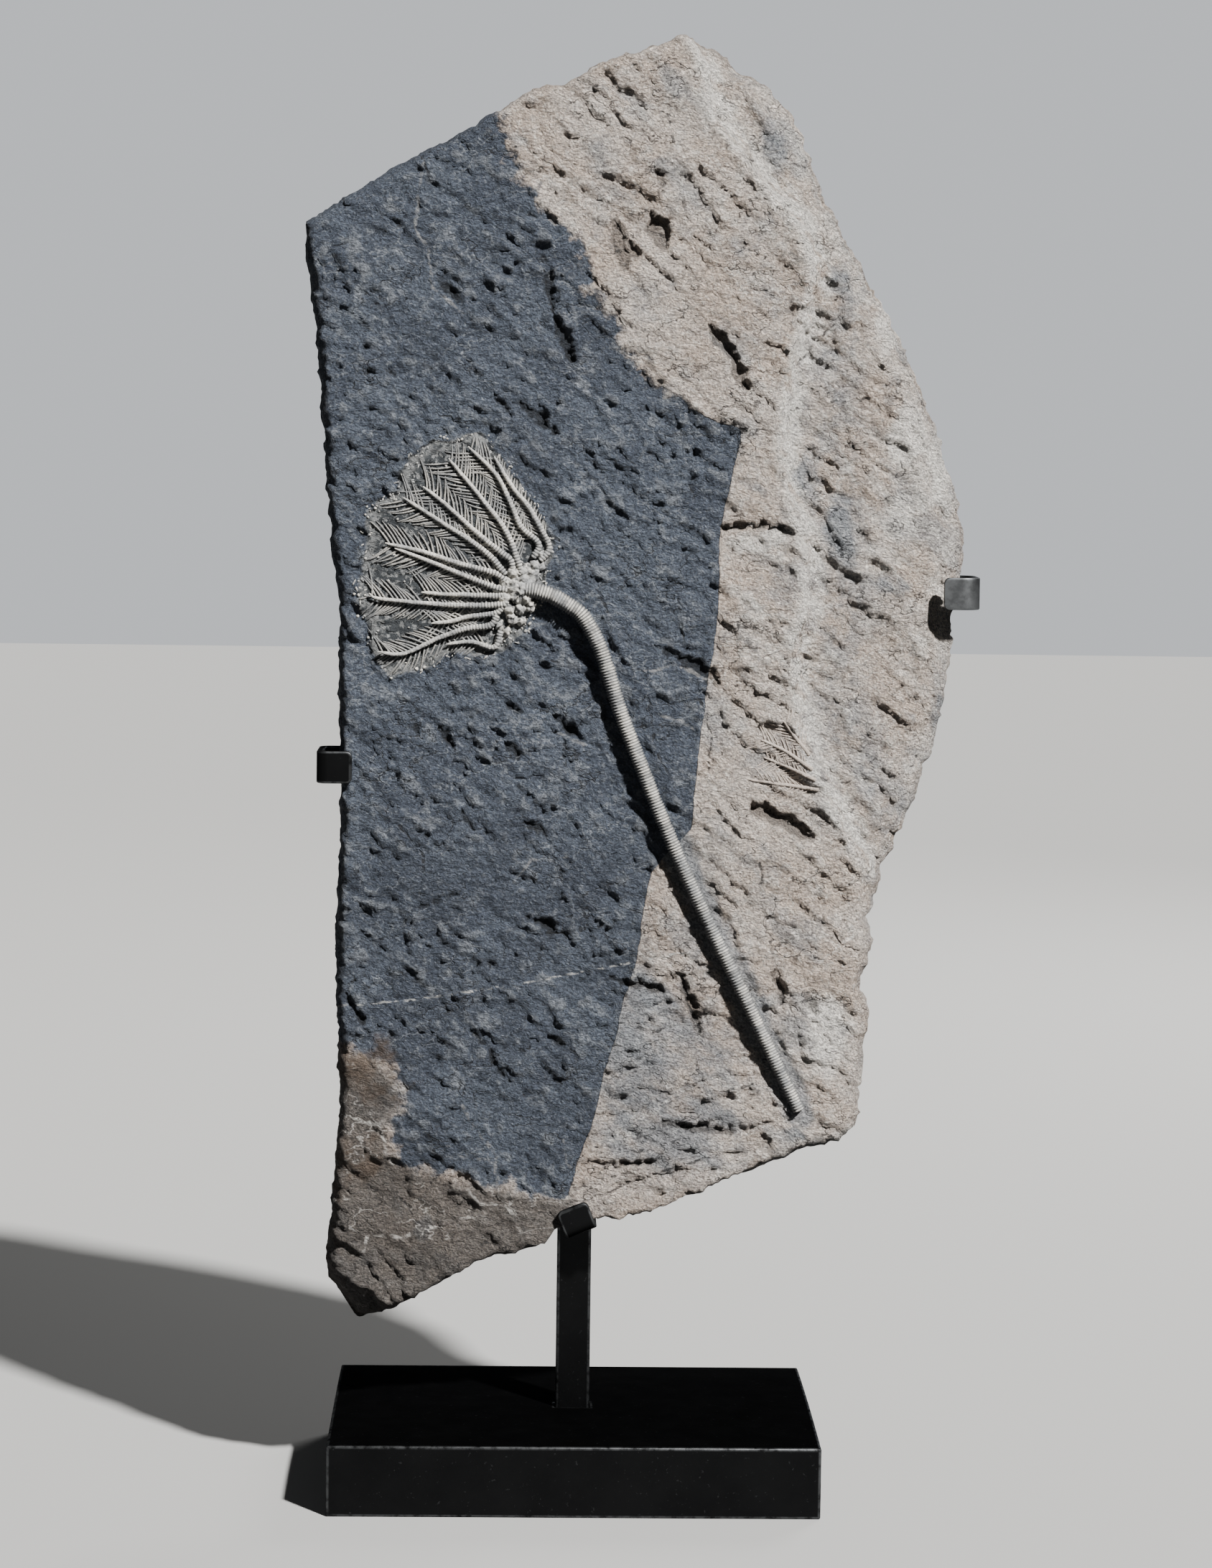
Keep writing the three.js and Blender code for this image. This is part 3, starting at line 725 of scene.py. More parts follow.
def build_slab(settings):
    """The split stone: a fine front face, layered edges and a rough back."""
    x, z, edge, normal, on_hook = ragged_edge(settings)
    right_side = smoothstep(60, 160, x)
    chamfer = 0.9 + 2.4 * right_side + 1.4 * np.abs(RIM_NOISE.cloud(x, z, 24, 3))
    back_chamfer = 1.4 + 1.2 * np.abs(RIM_NOISE.cloud(z, x, 20, 3))
    front_rim = edge - normal * (chamfer * (1 - 0.5 * on_hook))[:, None]
    back_rim = edge - normal * back_chamfer[:, None]

    front, front_faces, front_order = fill_loop(front_rim, settings.face_step, 3)
    rim_distance = np.maximum(depth_inside(*front.T, front_rim[::3]), 0)
    height, masks = face_relief(front[:, 0], front[:, 1], rim_distance)
    height = clear_of_straps(front[:, 0], front[:, 1], height)
    front_points = np.stack([front[:, 0], FACE_Y - height, front[:, 1]], -1)
    wall = slab_wall(settings.edge_rows, x, z, front_rim, edge, back_rim, normal,
                     front_points[front_order, 1], on_hook)
    back, back_faces, back_order = fill_loop(back_rim, settings.back_step, 5, 0.5)
    back_points, back_relief = back_face(*back.T)

    count = len(edge)
    start_wall = len(front_points)
    start_back = start_wall + len(wall) * count
    loops = [front_order] + [start_wall + i * count + np.arange(count)
                             for i in range(len(wall))] + [start_back + back_order]
    faces = [list(f) for f in front_faces]
    for near, far in zip(loops[:-1], loops[1:]):
        quads = np.stack([near, far, np.roll(far, -1), np.roll(near, -1)], -1)
        faces += quads.tolist()
    faces += [[start_back + i for i in reversed(f)] for f in back_faces]
    vertices = np.vstack([front_points] + wall + [back_points])
    piece = new_piece("limestone_slab", vertices, faces)

    behind = edge_and_back_masks(vertices[start_wall:, 0], vertices[start_wall:, 2], back_relief)
    for name, values in masks.items():
        give_attribute(piece, name, np.concatenate([values, behind[name]]))
    # painted shade, kept as side: darker towards the lower left of the face, on the rim ring, the edges
    # and the back
    painted_lower_shade = smoothstep(470, 380, front_points[:, 2]) * smoothstep(130, 60, front_points[:, 0])
    side = np.concatenate([0.7 * painted_lower_shade, np.ones(len(vertices) - start_wall)])
    side[front_order] = 0.5
    give_attribute(piece, "side", side)
    return piece


# ---- the crinoid ---------------------------------------------------------------------------------

ARM_TWIST = Noise(21)
CALYX_PLATES = [
    (-39, 566, 9.0, 0.4), (-47, 570, 4.0, 2.0), (-43, 577, 4.0, 2.2), (-36, 579, 4.0, 2.0),
    (-31, 575, 4.2, 1.8), (-30, 582, 3.4, 1.6), (-26, 588, 3.0, 1.4), (-48, 562, 3.8, 2.0),
    (-46, 555, 3.8, 1.8), (-39, 554, 4.0, 1.8), (-32, 556, 3.6, 1.6), (-41, 568, 3.4, 4.2),
    (-37, 573, 3.0, 3.8), (-42, 561, 3.2, 3.8), (-35, 561, 3.0, 3.4), (-52, 566, 3.0, 1.6),
    (-33, 569, 3.6, 3.6), (-26, 581, 2.6, 1.2), (-52, 556, 3.0, 1.4), (-44, 548, 3.4, 1.4),
    (-51, 544, 3.0, 1.2), (-52, 535, 2.8, 1.0), (-47, 540, 2.8, 1.0), (-38, 547, 3.0, 1.2),
]
SMALL_CROWN_OUTLINE = [
    (94, 476), (104, 462), (112, 448), (134, 432), (158, 428), (164, 440), (157, 462),
    (146, 486), (132, 505), (112, 502), (98, 492),
]
ARM_RISE = {9: 1.8, 11: 1.8, 12: 1.4}          # arms that stand higher than the rest
ARM_LIFT = 0.9
ARM_RADII = (2.2, 1.2)                         # near the cup and at the tip
SMALL_ARM_RADII = (1.6, 0.9)
CUP_MIDDLE = (-40, 566)
RUBBLE_MIDDLE = (-38, 567)
# along the column: shares of its length, the radius there, and one disc's outline and shade
STEM_SHARES = [0, 0.1, 0.5, 1]
STEM_RADII = [5.1, 5.0, 4.5, 4.1]
DISC_OUTLINE = np.array([0.80, 0.96, 1.0, 0.96])
DISC_SHADE = np.array([1.1, 0.35, 0, 0.35])
STEM_FORWARD = 0.9
JOINT_GROOVE = np.array([1.0, 0.25, 0.0, 0.25])     # how deep an arm is cut, over one ossicle
PINNULE_LEAN, PINNULE_CURL = 50, 18            # degrees from the arm, and back towards its tip
PINNULE_SIDES = 6
CUP_DETAIL = 0.42                              # grid on which the cup's plates are fused
# breaks in the column: share of its length, depth and width
STEM_CRACKS = [(0.655, 0.16, 1.1), (0.30, 0.07, 1.6), (0.79, 0.09, 1.8), (0.545, 0.06, 1.4)]


class Ground:
    """The stone's height under the crinoid, kept on a fine grid."""

    def __init__(self, low, high, step):
        self.low, self.step = np.array(low, float), step
        columns = np.arange(low[0], high[0], step)
        rows = np.arange(low[1], high[1], step)
        x, z = np.meshgrid(columns, rows, indexing="ij")
        height = face_relief(x, z, np.full(x.shape, 60.0))[0]
        for axis in (0, 1):
            height = (np.roll(height, 1, axis) + height + np.roll(height, -1, axis)) / 3
        self.height = height

    def __call__(self, x, z):
        spot = (np.stack([np.atleast_1d(x), np.atleast_1d(z)]) - self.low[:, None]) / self.step
        spot = np.clip(spot, 0, np.array(self.height.shape)[:, None] - 1.001)
        i, j = np.floor(spot).astype(int)
        fx, fz = spot - np.floor(spot)
        h = self.height
        return ((h[i, j] * (1 - fx) + h[i + 1, j] * fx) * (1 - fz)
                + (h[i, j + 1] * (1 - fx) + h[i + 1, j + 1] * fx) * fz)


ground = Ground((-150, 420), (190, 670), 1.4)


def softened(values, width):
    """A moving average, with the ends held."""
    padded = np.pad(values, width, mode="edge")
    return np.convolve(padded, np.ones(2 * width + 1) / (2 * width + 1), "valid")


def build_stem(settings):
    """The column: a stack of thin discs, a little thicker at every few, tapering down."""
    low, high = node_box("stem")
    axis_y = (low[1] + high[1]) / 2 - STEM_FORWARD
    length = line_length(STEM_LINE)
    discs = round(length / settings.disc_pitch)
    steps = 4 * discs + 1
    share = np.linspace(0, 1, steps)
    flat = curve_through(STEM_LINE, steps)
    rng = np.random.default_rng(31)
    disc = np.minimum(np.arange(steps) // 4, discs - 1)
    step = np.arange(steps) % 4
    size = 1 + rng.normal(0, 0.016, discs) + 0.03 * (np.arange(discs) % 5 == 2)
    size = size + 0.06 * ARM_TWIST.cloud(np.arange(discs) / 6.0, np.full(discs, 3.3), 1.0, 3)
    groove_depth = 1 + 0.5 * ARM_TWIST.cloud(share * 30, share * 3, 1.0, 3)
    profile = 1 - (1 - DISC_OUTLINE[step]) * groove_depth
    radius = np.interp(share, STEM_SHARES, STEM_RADII) * size[disc] * profile
    for at, depth, width in STEM_CRACKS:
        radius *= 1 - depth * np.exp(-((share - at) * length / width) ** 2)
    sides = settings.stem_sides
    turn = np.arange(sides)[None, :] / sides
    worn = 1 + 0.03 * ARM_TWIST.cloud(share[:, None] * 40 + 0 * turn, turn * 4, 1.0, 3)
    worn = worn + rng.normal(0, 0.006, (steps, sides))
    radii = radius[:, None] * worn
    radii[-1] *= 0.96
    path = np.stack([flat[:, 0], np.full(steps, axis_y), flat[:, 1]], -1)
    path[:, 1] += 0.5 * ARM_TWIST.cloud(share * 9, share + 5, 1.0, 2)
    rings = rod_rings(path, radii, sides)
    rings[-1] += rng.normal(0, 0.25, (sides, 3))
    piece = new_piece("stem_column", rings.reshape(-1, 3), ring_faces(steps, sides))
    in_groove = DISC_SHADE[step] * np.clip(groove_depth, 0.4, 1.4)
    # painted shade: the column's lower left side, turned from the light, and a dark line along its foot
    # on the upper right side, stored with the grooves
    painted_shade_below = 0.7 * smoothstep(0.1, 1.0, np.cos(2 * math.pi * turn))
    painted_shade_at_foot = 0.8 * smoothstep(0.72, 0.98, -np.cos(2 * math.pi * turn))
    grey = np.clip(0.25 + rng.normal(0, 0.16, discs)
                   + 0.5 * ARM_TWIST.cloud(np.arange(discs) / 5.0, np.full(discs, 8.1), 1, 3), 0, 0.7)
    shade = np.maximum(in_groove, grey[disc])[:, None] + painted_shade_below + painted_shade_at_foot
    give_attribute(piece, "groove", shade.ravel())
    return piece


def from_cup(line, share=0.3):
    """The arm's line, started nearer to the middle of the cup."""
    start = np.array(line[0], float)
    return [tuple(start + share * (np.array(CUP_MIDDLE) - start))] + list(line)


def build_arm(name, line, settings, radii, rise):
    """One arm: short ossicles end to end, clearest near the calyx, tapering to the tip."""
    length = line_length(line)
    joints = max(round(length / settings.ossicle_pitch), 6)
    steps = 4 * joints + 1
    share = np.linspace(0, 1, steps)
    flat = curve_through(line, steps)
    seed = sum(ord(letter) for letter in name)
    rng = np.random.default_rng(seed)
    wobble = 0.35 * ARM_TWIST.cloud(share * length, np.full(steps, seed * 1.7), 9, 3)
    across = np.gradient(flat, axis=0)
    across /= np.linalg.norm(across, axis=1)[:, None]
    flat = flat + np.stack([-across[:, 1], across[:, 0]], -1) * wobble[:, None]
    step = np.arange(steps) % 4
    joint = np.minimum(np.arange(steps) // 4, joints - 1)
    groove = JOINT_GROOVE[step]
    strength = np.interp(share, [0, 0.4, 1], [0.2, 0.10, 0.04])
    size = 1 + rng.normal(0, 0.03, joints)
    thick, thin = radii
    radius = thick + (thin - thick) * share ** 0.8
    radius = radius * (1 - groove * strength) * size[joint]
    radius *= np.interp(share, [0, 0.03, 0.93, 1], [0.75, 1, 0.9, 0.35])
    sides = settings.arm_sides
    turn = np.arange(sides)[None, :] / sides
    worn = 1 + 0.09 * ARM_TWIST.cloud(share[:, None] * length / 4 + 0 * turn, turn * 3 + seed,
                                      1.0, 3)
    base = softened(ground(flat[:, 0], flat[:, 1]), 10)
    path = np.stack([flat[:, 0], FACE_Y - base - rise, flat[:, 1]], -1)
    rings = rod_rings(path, radius[:, None] * worn, sides)
    piece = new_piece(name, rings.reshape(-1, 3), ring_faces(steps, sides))
    give_attribute(piece, "groove", np.repeat(groove * strength / 0.13, sides))
    return piece


def comb_paths(line, others, settings, seed, reach, outline):
    """The side branches of one arm: curved towards the tip, stopping at the next arm."""
    rng = np.random.default_rng(seed)
    length = line_length(line)
    count = int(length / settings.pinnule_pitch)
    spine = curve_through(line, 200)
    tangent = np.gradient(spine, axis=0)
    tangent /= np.linalg.norm(tangent, axis=1)[:, None]
    t = np.linspace(0, 1, 10)
    last = len(spine) - 1
    paths = []
    for side in (-1, 1):
        for i in range(2, count):
            s = (i + rng.uniform(-0.18, 0.18)) / count
            if s > 0.98:
                continue
            at = min(int(s * last), last)
            lean = PINNULE_LEAN + 20 * ARM_TWIST.smooth(np.array(i / 6.0), np.array(seed + side))
            lean = lean + rng.normal(0, 2.0)
            reach_here = reach * (0.65 + 0.5 * s)
            curl = rng.normal(PINNULE_CURL, 5)
            angle = np.radians(lean - curl * t) * side
            head = math.atan2(tangent[at, 1], tangent[at, 0])
            leg = reach_here / (len(t) - 1)
            x = spine[at, 0] + np.concatenate([[0], np.cumsum(np.cos(head + angle[:-1]))]) * leg
            z = spine[at, 1] + np.concatenate([[0], np.cumsum(np.sin(head + angle[:-1]))]) * leg
            gap = np.full(len(t), FAR)
            own = from_line(x, z, line)[0]
            for other in others:
                distance = from_line(x, z, other)[0]
                gap = np.minimum(gap, np.where(distance < own, distance, FAR))
            free = (gap > 1.4) & (depth_inside(x, z, outline) > -1.5)
            kept = len(t) if free.all() else int(np.argmin(free))
            if kept >= 3 and rng.random() > 0.06:
                paths.append(np.stack([x, z], -1)[:kept])
    return paths


def build_combs(name, lines, settings, reach, outline, radius, rise):
    """All the pinnules of a crown, joined in one mesh."""
    vertices, faces, groove = [], [], []
    start = 0
    for number, line in enumerate(lines):
        others = [other for other in lines if other is not line]
        for path in comb_paths(line, others, settings, 40 + number, reach, outline):
            steps = max(int(len(path) * 1.6), 5)
            flat = curve_through(path, steps)
            base = softened(ground(flat[:, 0], flat[:, 1]), 2)
            lift = rise - 0.5 * np.linspace(0, 1, steps) ** 2
            size = radius * np.interp(np.linspace(0, 1, steps), [0, 0.2, 0.8, 1],
                                      [0.9, 1, 0.85, 0.4])
            size = size * (1 - 0.12 * (np.arange(steps) % 2))
            spine = np.stack([flat[:, 0], FACE_Y - base - lift, flat[:, 1]], -1)
            vertices.append(rod_rings(spine, size, PINNULE_SIDES).reshape(-1, 3))
            faces += ring_faces(steps, PINNULE_SIDES, start)
            groove.append(np.repeat(np.linspace(0.45, 0.75, steps), PINNULE_SIDES))
            start += steps * PINNULE_SIDES
    piece = new_piece(name, np.vstack(vertices), faces)
    give_attribute(piece, "groove", np.concatenate(groove))
    return piece


def scattered_bits(rng, outline, count):
    """Places for loose plates: round the calyx, along the crown's edge and between arms."""
    ring = resampled_loop(np.array(outline, float), 1.0)
    places = []
    while len(places) < count:
        draw = rng.random()
        if draw < 0.4:
            spot = ring[rng.integers(len(ring))] + rng.normal(0, 3.4, 2)
        elif draw < 0.75:
            spot = np.array(RUBBLE_MIDDLE) + rng.normal(0, 12.0, 2)
        else:
            spot = np.array([rng.uniform(-135, -22), rng.uniform(515, 655)])
        if depth_inside(spot[:1], spot[1:], outline)[0] > -3.5:
            places.append(spot)
    return np.array(places)


def build_ossicles(settings):
    """Loose plates and broken bits of pinnule, each a small squashed stone."""
    rng = np.random.default_rng(51)
    only()
    bpy.ops.mesh.primitive_ico_sphere_add(subdivisions=2, radius=1.0)
    model = bpy.context.object
    round_stone = np.array([v.co[:] for v in model.data.vertices])
    stone_faces = [list(p.vertices) for p in model.data.polygons]
    bpy.data.objects.remove(model)
    spots = scattered_bits(rng, CROWN_OUTLINE, settings.ossicle_count)
    base = ground(spots[:, 0], spots[:, 1])
    vertices, faces = [], []
    for number, (spot, height) in enumerate(zip(spots, base)):
        long_bit = rng.random() < 0.3
        size = rng.uniform(0.35, 1.05) * np.array([rng.uniform(2, 4) if long_bit else 1,
                                                   rng.uniform(0.6, 0.9), rng.uniform(0.7, 1.1)])
        if long_bit:
            size = size * 0.6
        turn = rng.uniform(0, math.pi)
        lumpy = round_stone * (1 + rng.normal(0, 0.15, (len(round_stone), 1))) * size
        c, s = math.cos(turn), math.sin(turn)
        x = lumpy[:, 0] * c - lumpy[:, 2] * s + spot[0]
        z = lumpy[:, 0] * s + lumpy[:, 2] * c + spot[1]
        y = lumpy[:, 1] + FACE_Y - height - 0.1 * size[1]
        vertices.append(np.stack([x, y, z], -1))
        faces += [[i + number * len(round_stone) for i in face] for face in stone_faces]
    piece = new_piece("loose_ossicles", np.vstack(vertices), faces)
    give_attribute(piece, "groove", rng.uniform(0, 0.5, len(piece.data.vertices)))
    return piece


def build_calyx():
    """The cup: rounded plates pushed together, fused and worn."""
    only()
    rng = np.random.default_rng(61)
    plates = []
    for x, z, radius, rise in CALYX_PLATES:
        bpy.ops.mesh.primitive_ico_sphere_add(
            subdivisions=3, radius=radius * MM, location=(x * MM, (FACE_Y - rise) * MM, z * MM),
            rotation=(0, rng.uniform(0, 3), 0))
        plate = bpy.context.object
        plate.scale = (rng.uniform(0.9, 1.1), 0.72, rng.uniform(0.8, 1.0))
        plates.append(plate)
    only(*plates)
    bpy.ops.object.join()
    cup = bpy.context.object
    cup.name = cup.data.name = "calyx_cup"
    bpy.ops.object.transform_apply(location=True, rotation=True, scale=True)
    fuse = cup.modifiers.new("fuse", "REMESH")
    fuse.mode = "VOXEL"
    fuse.voxel_size = CUP_DETAIL * MM
    bpy.ops.object.modifier_apply(modifier=fuse.name)
    co = np.empty(len(cup.data.vertices) * 3, np.float32)
    cup.data.vertices.foreach_get("co", co)
    co = co.reshape(-1, 3)
    normal = np.array([v.normal[:] for v in cup.data.vertices])
    x, y, z = co.T / MM
    worn = 0.35 * ARM_TWIST.cloud(x + y * 1.3, z - y, 3.2, 3)
    worn = worn + 1.2 * ARM_TWIST.facets(x + 0.5 * y, z + 0.6 * y, 2.7, 22)
    co = co + normal * worn[:, None] * MM
    cup.data.vertices.foreach_set("co", co.astype(np.float32).ravel())
    cup.data.update()
    cup.data.shade_smooth()
    # painted shade: the cup is darker where its worn surface sinks, in the hollows between its plates
    give_attribute(cup, "groove", np.clip(0.35 - worn, 0, 1))
    return cup


# ---- the stand -----------------------------------------------------------------------------------

FLAT_ENOUGH = 0.985             # of a face's normal along an axis
BROAD_ENOUGH = 4e-5             # of a face's area, in square metres


def steel_block(name, node, settings):
    """A block or bar of steel: the CAD solid with eased edges and a narrow margin beside them."""
    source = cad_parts[node]
    piece = bpy.data.objects.new(name, source.data.copy())
    bpy.context.scene.collection.objects.link(piece)
    piece.data.materials.clear()
    only(piece)
    bpy.ops.object.mode_set(mode="EDIT")
    bpy.ops.mesh.select_all(action="SELECT")
    bpy.ops.mesh.remove_doubles(threshold=0.01 * MM)
    bpy.ops.mesh.customdata_custom_splitnormals_clear()
    bpy.ops.mesh.dissolve_limited(angle_limit=math.radians(0.4))
    bpy.ops.object.mode_set(mode="OBJECT")
    ease = piece.modifiers.new("ease", "BEVEL")
    ease.width = settings.edge_ease * MM
    ease.segments = 3
    ease.limit_method = "ANGLE"
    ease.angle_limit = math.radians(40)
    bpy.ops.object.modifier_apply(modifier=ease.name)
    for axis in range(3):
        for way in (-1, 1):
            bpy.ops.object.mode_set(mode="OBJECT")
            piece.data.update()
            for part in (piece.data.vertices, piece.data.edges, piece.data.polygons):
                part.foreach_set("select", np.zeros(len(part), bool))
            for face in piece.data.polygons:
                face.select = face.normal[axis] * way > FLAT_ENOUGH and face.area > BROAD_ENOUGH
            bpy.ops.object.mode_set(mode="EDIT")
            bpy.ops.mesh.select_mode(type="FACE")
            bpy.ops.mesh.inset(thickness=1.6 * MM, use_boundary=True, use_even_offset=True)
    bpy.ops.object.mode_set(mode="OBJECT")
    mark_worn_edges(piece)
    bpy.ops.object.shade_smooth_by_angle(angle=math.radians(30))
    return piece


def mark_worn_edges(piece):
    """Stores 1 on the eased corners and 0 on the flats."""
    mesh = piece.data
    worn = np.zeros(len(mesh.vertices))
    for face in mesh.polygons:
        if max(abs(c) for c in face.normal) < FLAT_ENOUGH:
            for index in face.vertices:
                worn[index] = 1
    give_attribute(piece, "worn", worn)


def bar_section(half_width, half_thick, ease):
    """A rounded rectangle, with points beside each corner, and which points are corners."""
    points, worn = [], []
    margin = 1.2
    for sx, sz, start in ((1, 1, 0), (-1, 1, 90), (-1, -1, 180), (1, -1, 270)):
        corner = np.array([sx * (half_width - ease), sz * (half_thick - ease)])
        arc = [corner + ease * np.array([math.cos(math.radians(start + a)),
                                         math.sin(math.radians(start + a))])
               for a in (0, 30, 60, 90)]
        before = np.array([0, -sz * 0.6]) if start % 180 == 0 else np.array([-sx * margin, 0])
        after = np.array([-sx * margin, 0]) if start % 180 == 0 else np.array([0, -sz * 0.6])
        points += [arc[0] + before] + arc + [arc[-1] + after]
        worn += [0, 1, 1, 1, 1, 0]
    return np.array(points), np.array(worn, float)


def bent_path(points, bend):
    """The middle line of a bar: straight runs joined by arcs, with a step at each change."""
    points = [np.array(p, float) for p in points]
    path = [points[0]]
    for before, here, after in zip(points[:-2], points[1:-1], points[2:]):
        a = (before - here) / np.linalg.norm(before - here)
        b = (after - here) / np.linalg.norm(after - here)
        centre = here + (a + b) * bend
        for share in np.linspace(0, 1, 11):
            turn = share * math.pi / 2
            path.append(centre - b * bend * math.cos(turn) - a * bend * math.sin(turn))
    last, end = path[-1], points[-1]
    heading = (end - last) / np.linalg.norm(end - last)
    for back in (4.0, 2.6, 1.6, 0.9, 0.4, 0.12, 0.0):
        path.append(end - heading * back)
    return np.array(path)


def bent_bar(name, middle, bend, turn, painted_sheen=0.0, round_end=3.4):
    """A flat bar bent along its middle line, with the corners of its free end rounded off."""
    path = bent_path(middle, bend)
    section, worn = bar_section(STRAP_WIDTH / 2, STRAP_THICK / 2, 0.9)
    heading = np.gradient(path, axis=0)
    heading /= np.linalg.norm(heading, axis=1)[:, None]
    across = np.array([0, 0, 1.0])
    normal = np.cross(heading, across)
    to_end = np.linalg.norm(path - path[-1], axis=1)
    reach = np.clip(round_end - to_end, 0, round_end)
    reach[:-8] = 0
    cut = round_end - np.sqrt(np.maximum(round_end ** 2 - reach ** 2, 0))
    cut[-1] = round_end
    rings = []
    for point, out, less in zip(path, normal, cut):
        squeeze = np.sign(section[:, 0]) * np.maximum(np.abs(section[:, 0]) - less, 0)
        rings.append(point + across * squeeze[:, None] + out * section[:, 1:])
    rings = np.array(rings)
    rings[-1] = rings[-1].mean(0) + (rings[-1] - rings[-1].mean(0)) * [0.8, 0.8, 1]
    sides = len(section)
    piece = new_piece(name, rings.reshape(-1, 3), ring_faces(len(path), sides))
    mark = np.tile(worn, len(path)).reshape(len(path), sides)
    mark[-5:] = np.maximum(mark[-5:], 0.7)
    mark[0] = 1
    # painted sheen: the right strap's front leaf is stored as worn above 1 and lightened towards rubbed
    # steel
    on_leaf = smoothstep(40, 26, to_end)[:, None]
    give_attribute(piece, "worn", np.maximum(mark, 2 * painted_sheen * on_leaf).ravel())
    piece.data.transform(turn)
    only(piece)
    bpy.ops.object.mode_set(mode="EDIT")
    bpy.ops.mesh.select_all(action="SELECT")
    bpy.ops.mesh.normals_make_consistent(inside=False)
    bpy.ops.object.mode_set(mode="OBJECT")
    bpy.ops.object.shade_smooth_by_angle(angle=math.radians(35))
    return piece


LEAF_REACH = {"left_strap": 19.8, "right_strap": 20.8}
BENDS = {"left_strap": 5.0, "right_strap": 9.0, "bottom_hook": 5.0}


def build_side_strap(name, node):
    """From the post, behind the slab, round its edge and onto its face."""
    low, high = node_box(node)
    way = -1 if node == "left_strap" else 1
    outer = low[0] if way < 0 else high[0]
    edge = outer - way * STRAP_THICK / 2
    start = high[0] if way < 0 else low[0]
    leaf = edge - way * LEAF_REACH[node]
    back_y, face_y = high[1] - STRAP_THICK / 2, low[1] + STRAP_THICK / 2
    middle = [(start, back_y, 0), (edge, back_y, 0), (edge, face_y, 0), (leaf, face_y, 0)]
    lift = Matrix.Translation((0, 0, (low[2] + high[2]) / 2 * MM))
    return bent_bar(name, middle, BENDS[node], lift, painted_sheen=1.0 if way > 0 else 0.0)


HOOK_X, HOOK_Z, HOOK_LEAN = 3.4, 167.8, -22


def build_hook():
    """Down the front of the post, under the slab's lower edge and up its face."""
    low, high = node_box("bottom_hook")
    back_y, face_y = high[1] - STRAP_THICK / 2, low[1] + STRAP_THICK / 2
    middle = [(-34, back_y, 0), (0, back_y, 0), (0, face_y, 0), (-16.2, face_y, 0)]
    turn = (Matrix.Translation((HOOK_X * MM, 0, HOOK_Z * MM))
            @ Matrix.Rotation(math.radians(HOOK_LEAN), 4, "Y")
            @ Matrix.Rotation(math.radians(90), 4, "Y"))
    return bent_bar("hook_bar", middle, BENDS["bottom_hook"], turn)


# ---- finishes ------------------------------------------------------------------------------------

DEEP_SHADE = (0.010, 0.012, 0.016)       # in the hollows of the dark stone
WARM_SHADE = (0.05, 0.043, 0.038)        # in the hollows of the tan stone
CRACK_SHADE = (0.02, 0.02, 0.022)
CRACK_DUST = (0.36, 0.36, 0.36)
VEIN_CALCITE = (0.62, 0.62, 0.61)
SIDE_SHADE = (0.62, 0.62, 0.63)          # painted shade: darkens the rim, the back and the lower stone
STEEL_GLINT = (0.36, 0.362, 0.368, 1)


def add_node(tree, kind, inputs=None, **settings):
    """A node with its settings made and its inputs set or linked."""
    made = tree.nodes.new(kind)
    for key, value in settings.items():
        setattr(made, key, value)
    for key, value in (inputs or {}).items():
        if isinstance(value, bpy.types.NodeSocket):
            tree.links.new(value, made.inputs[key])
        else:
            made.inputs[key].default_value = value
    return made


def mixed(tree, share, first, second, blend="MIX"):
    """A colour between two others."""
    colours = [c if isinstance(c, bpy.types.NodeSocket) else (*c[:3], 1) for c in (first, second)]
    made = add_node(tree, "ShaderNodeMix", {0: share, 6: colours[0], 7: colours[1]},
                    data_type="RGBA", blend_type=blend)
    return made.outputs[2]


def sums(tree, operation, first, second=0.0):
    made = add_node(tree, "ShaderNodeMath", {0: first, 1: second}, operation=operation)
    return made.outputs[0]


def times(tree, first, second):
    return sums(tree, "MULTIPLY", first, second)


def tinted(tree, base, mask, strength, tint):
    """A colour with another one laid over it, as strongly as the mask says."""
    return mixed(tree, times(tree, mask, strength), base, tint)


def ramp(tree, value, low, high, start=0.0, end=1.0):
    """Goes smoothly from start to end while the value goes from low to high."""
    made = add_node(tree, "ShaderNodeMapRange",
                    {"Value": value, "From Min": low, "From Max": high,
                     "To Min": start, "To Max": end}, interpolation_type="SMOOTHSTEP")
    return made.outputs[0]


def stored(tree, name):
    return add_node(tree, "ShaderNodeAttribute", attribute_name=name).outputs["Fac"]


def new_group(name, inputs, outputs):
    """An empty node group with number inputs and the outputs asked for."""
    tree = bpy.data.node_groups.new(name, "ShaderNodeTree")
    for label, value in inputs.items():
        socket = tree.interface.new_socket(label, in_out="INPUT", socket_type="NodeSocketFloat")
        socket.default_value = value
    for label in outputs:
        tree.interface.new_socket(label, in_out="OUTPUT", socket_type="NodeSocketFloat")
    return tree, tree.nodes.new("NodeGroupInput"), tree.nodes.new("NodeGroupOutput")


def along_grain(tree, scale=(1, 1, 1)):
    """The object's own coordinates, turned to lie along the stone's grain."""
    where = add_node(tree, "ShaderNodeTexCoord").outputs["Object"]
    return add_node(tree, "ShaderNodeMapping", {"Vector": where, "Scale": scale,
                                                "Rotation": (0, GRAIN_TURN, 0)}).outputs[0]


def cloudy(tree, where, scale, detail, rough, distortion=0.0):
    return add_node(tree, "ShaderNodeTexNoise", {
        "Vector": where, "Scale": scale, "Detail": detail, "Roughness": rough,
        "Distortion": distortion}).outputs["Fac"]


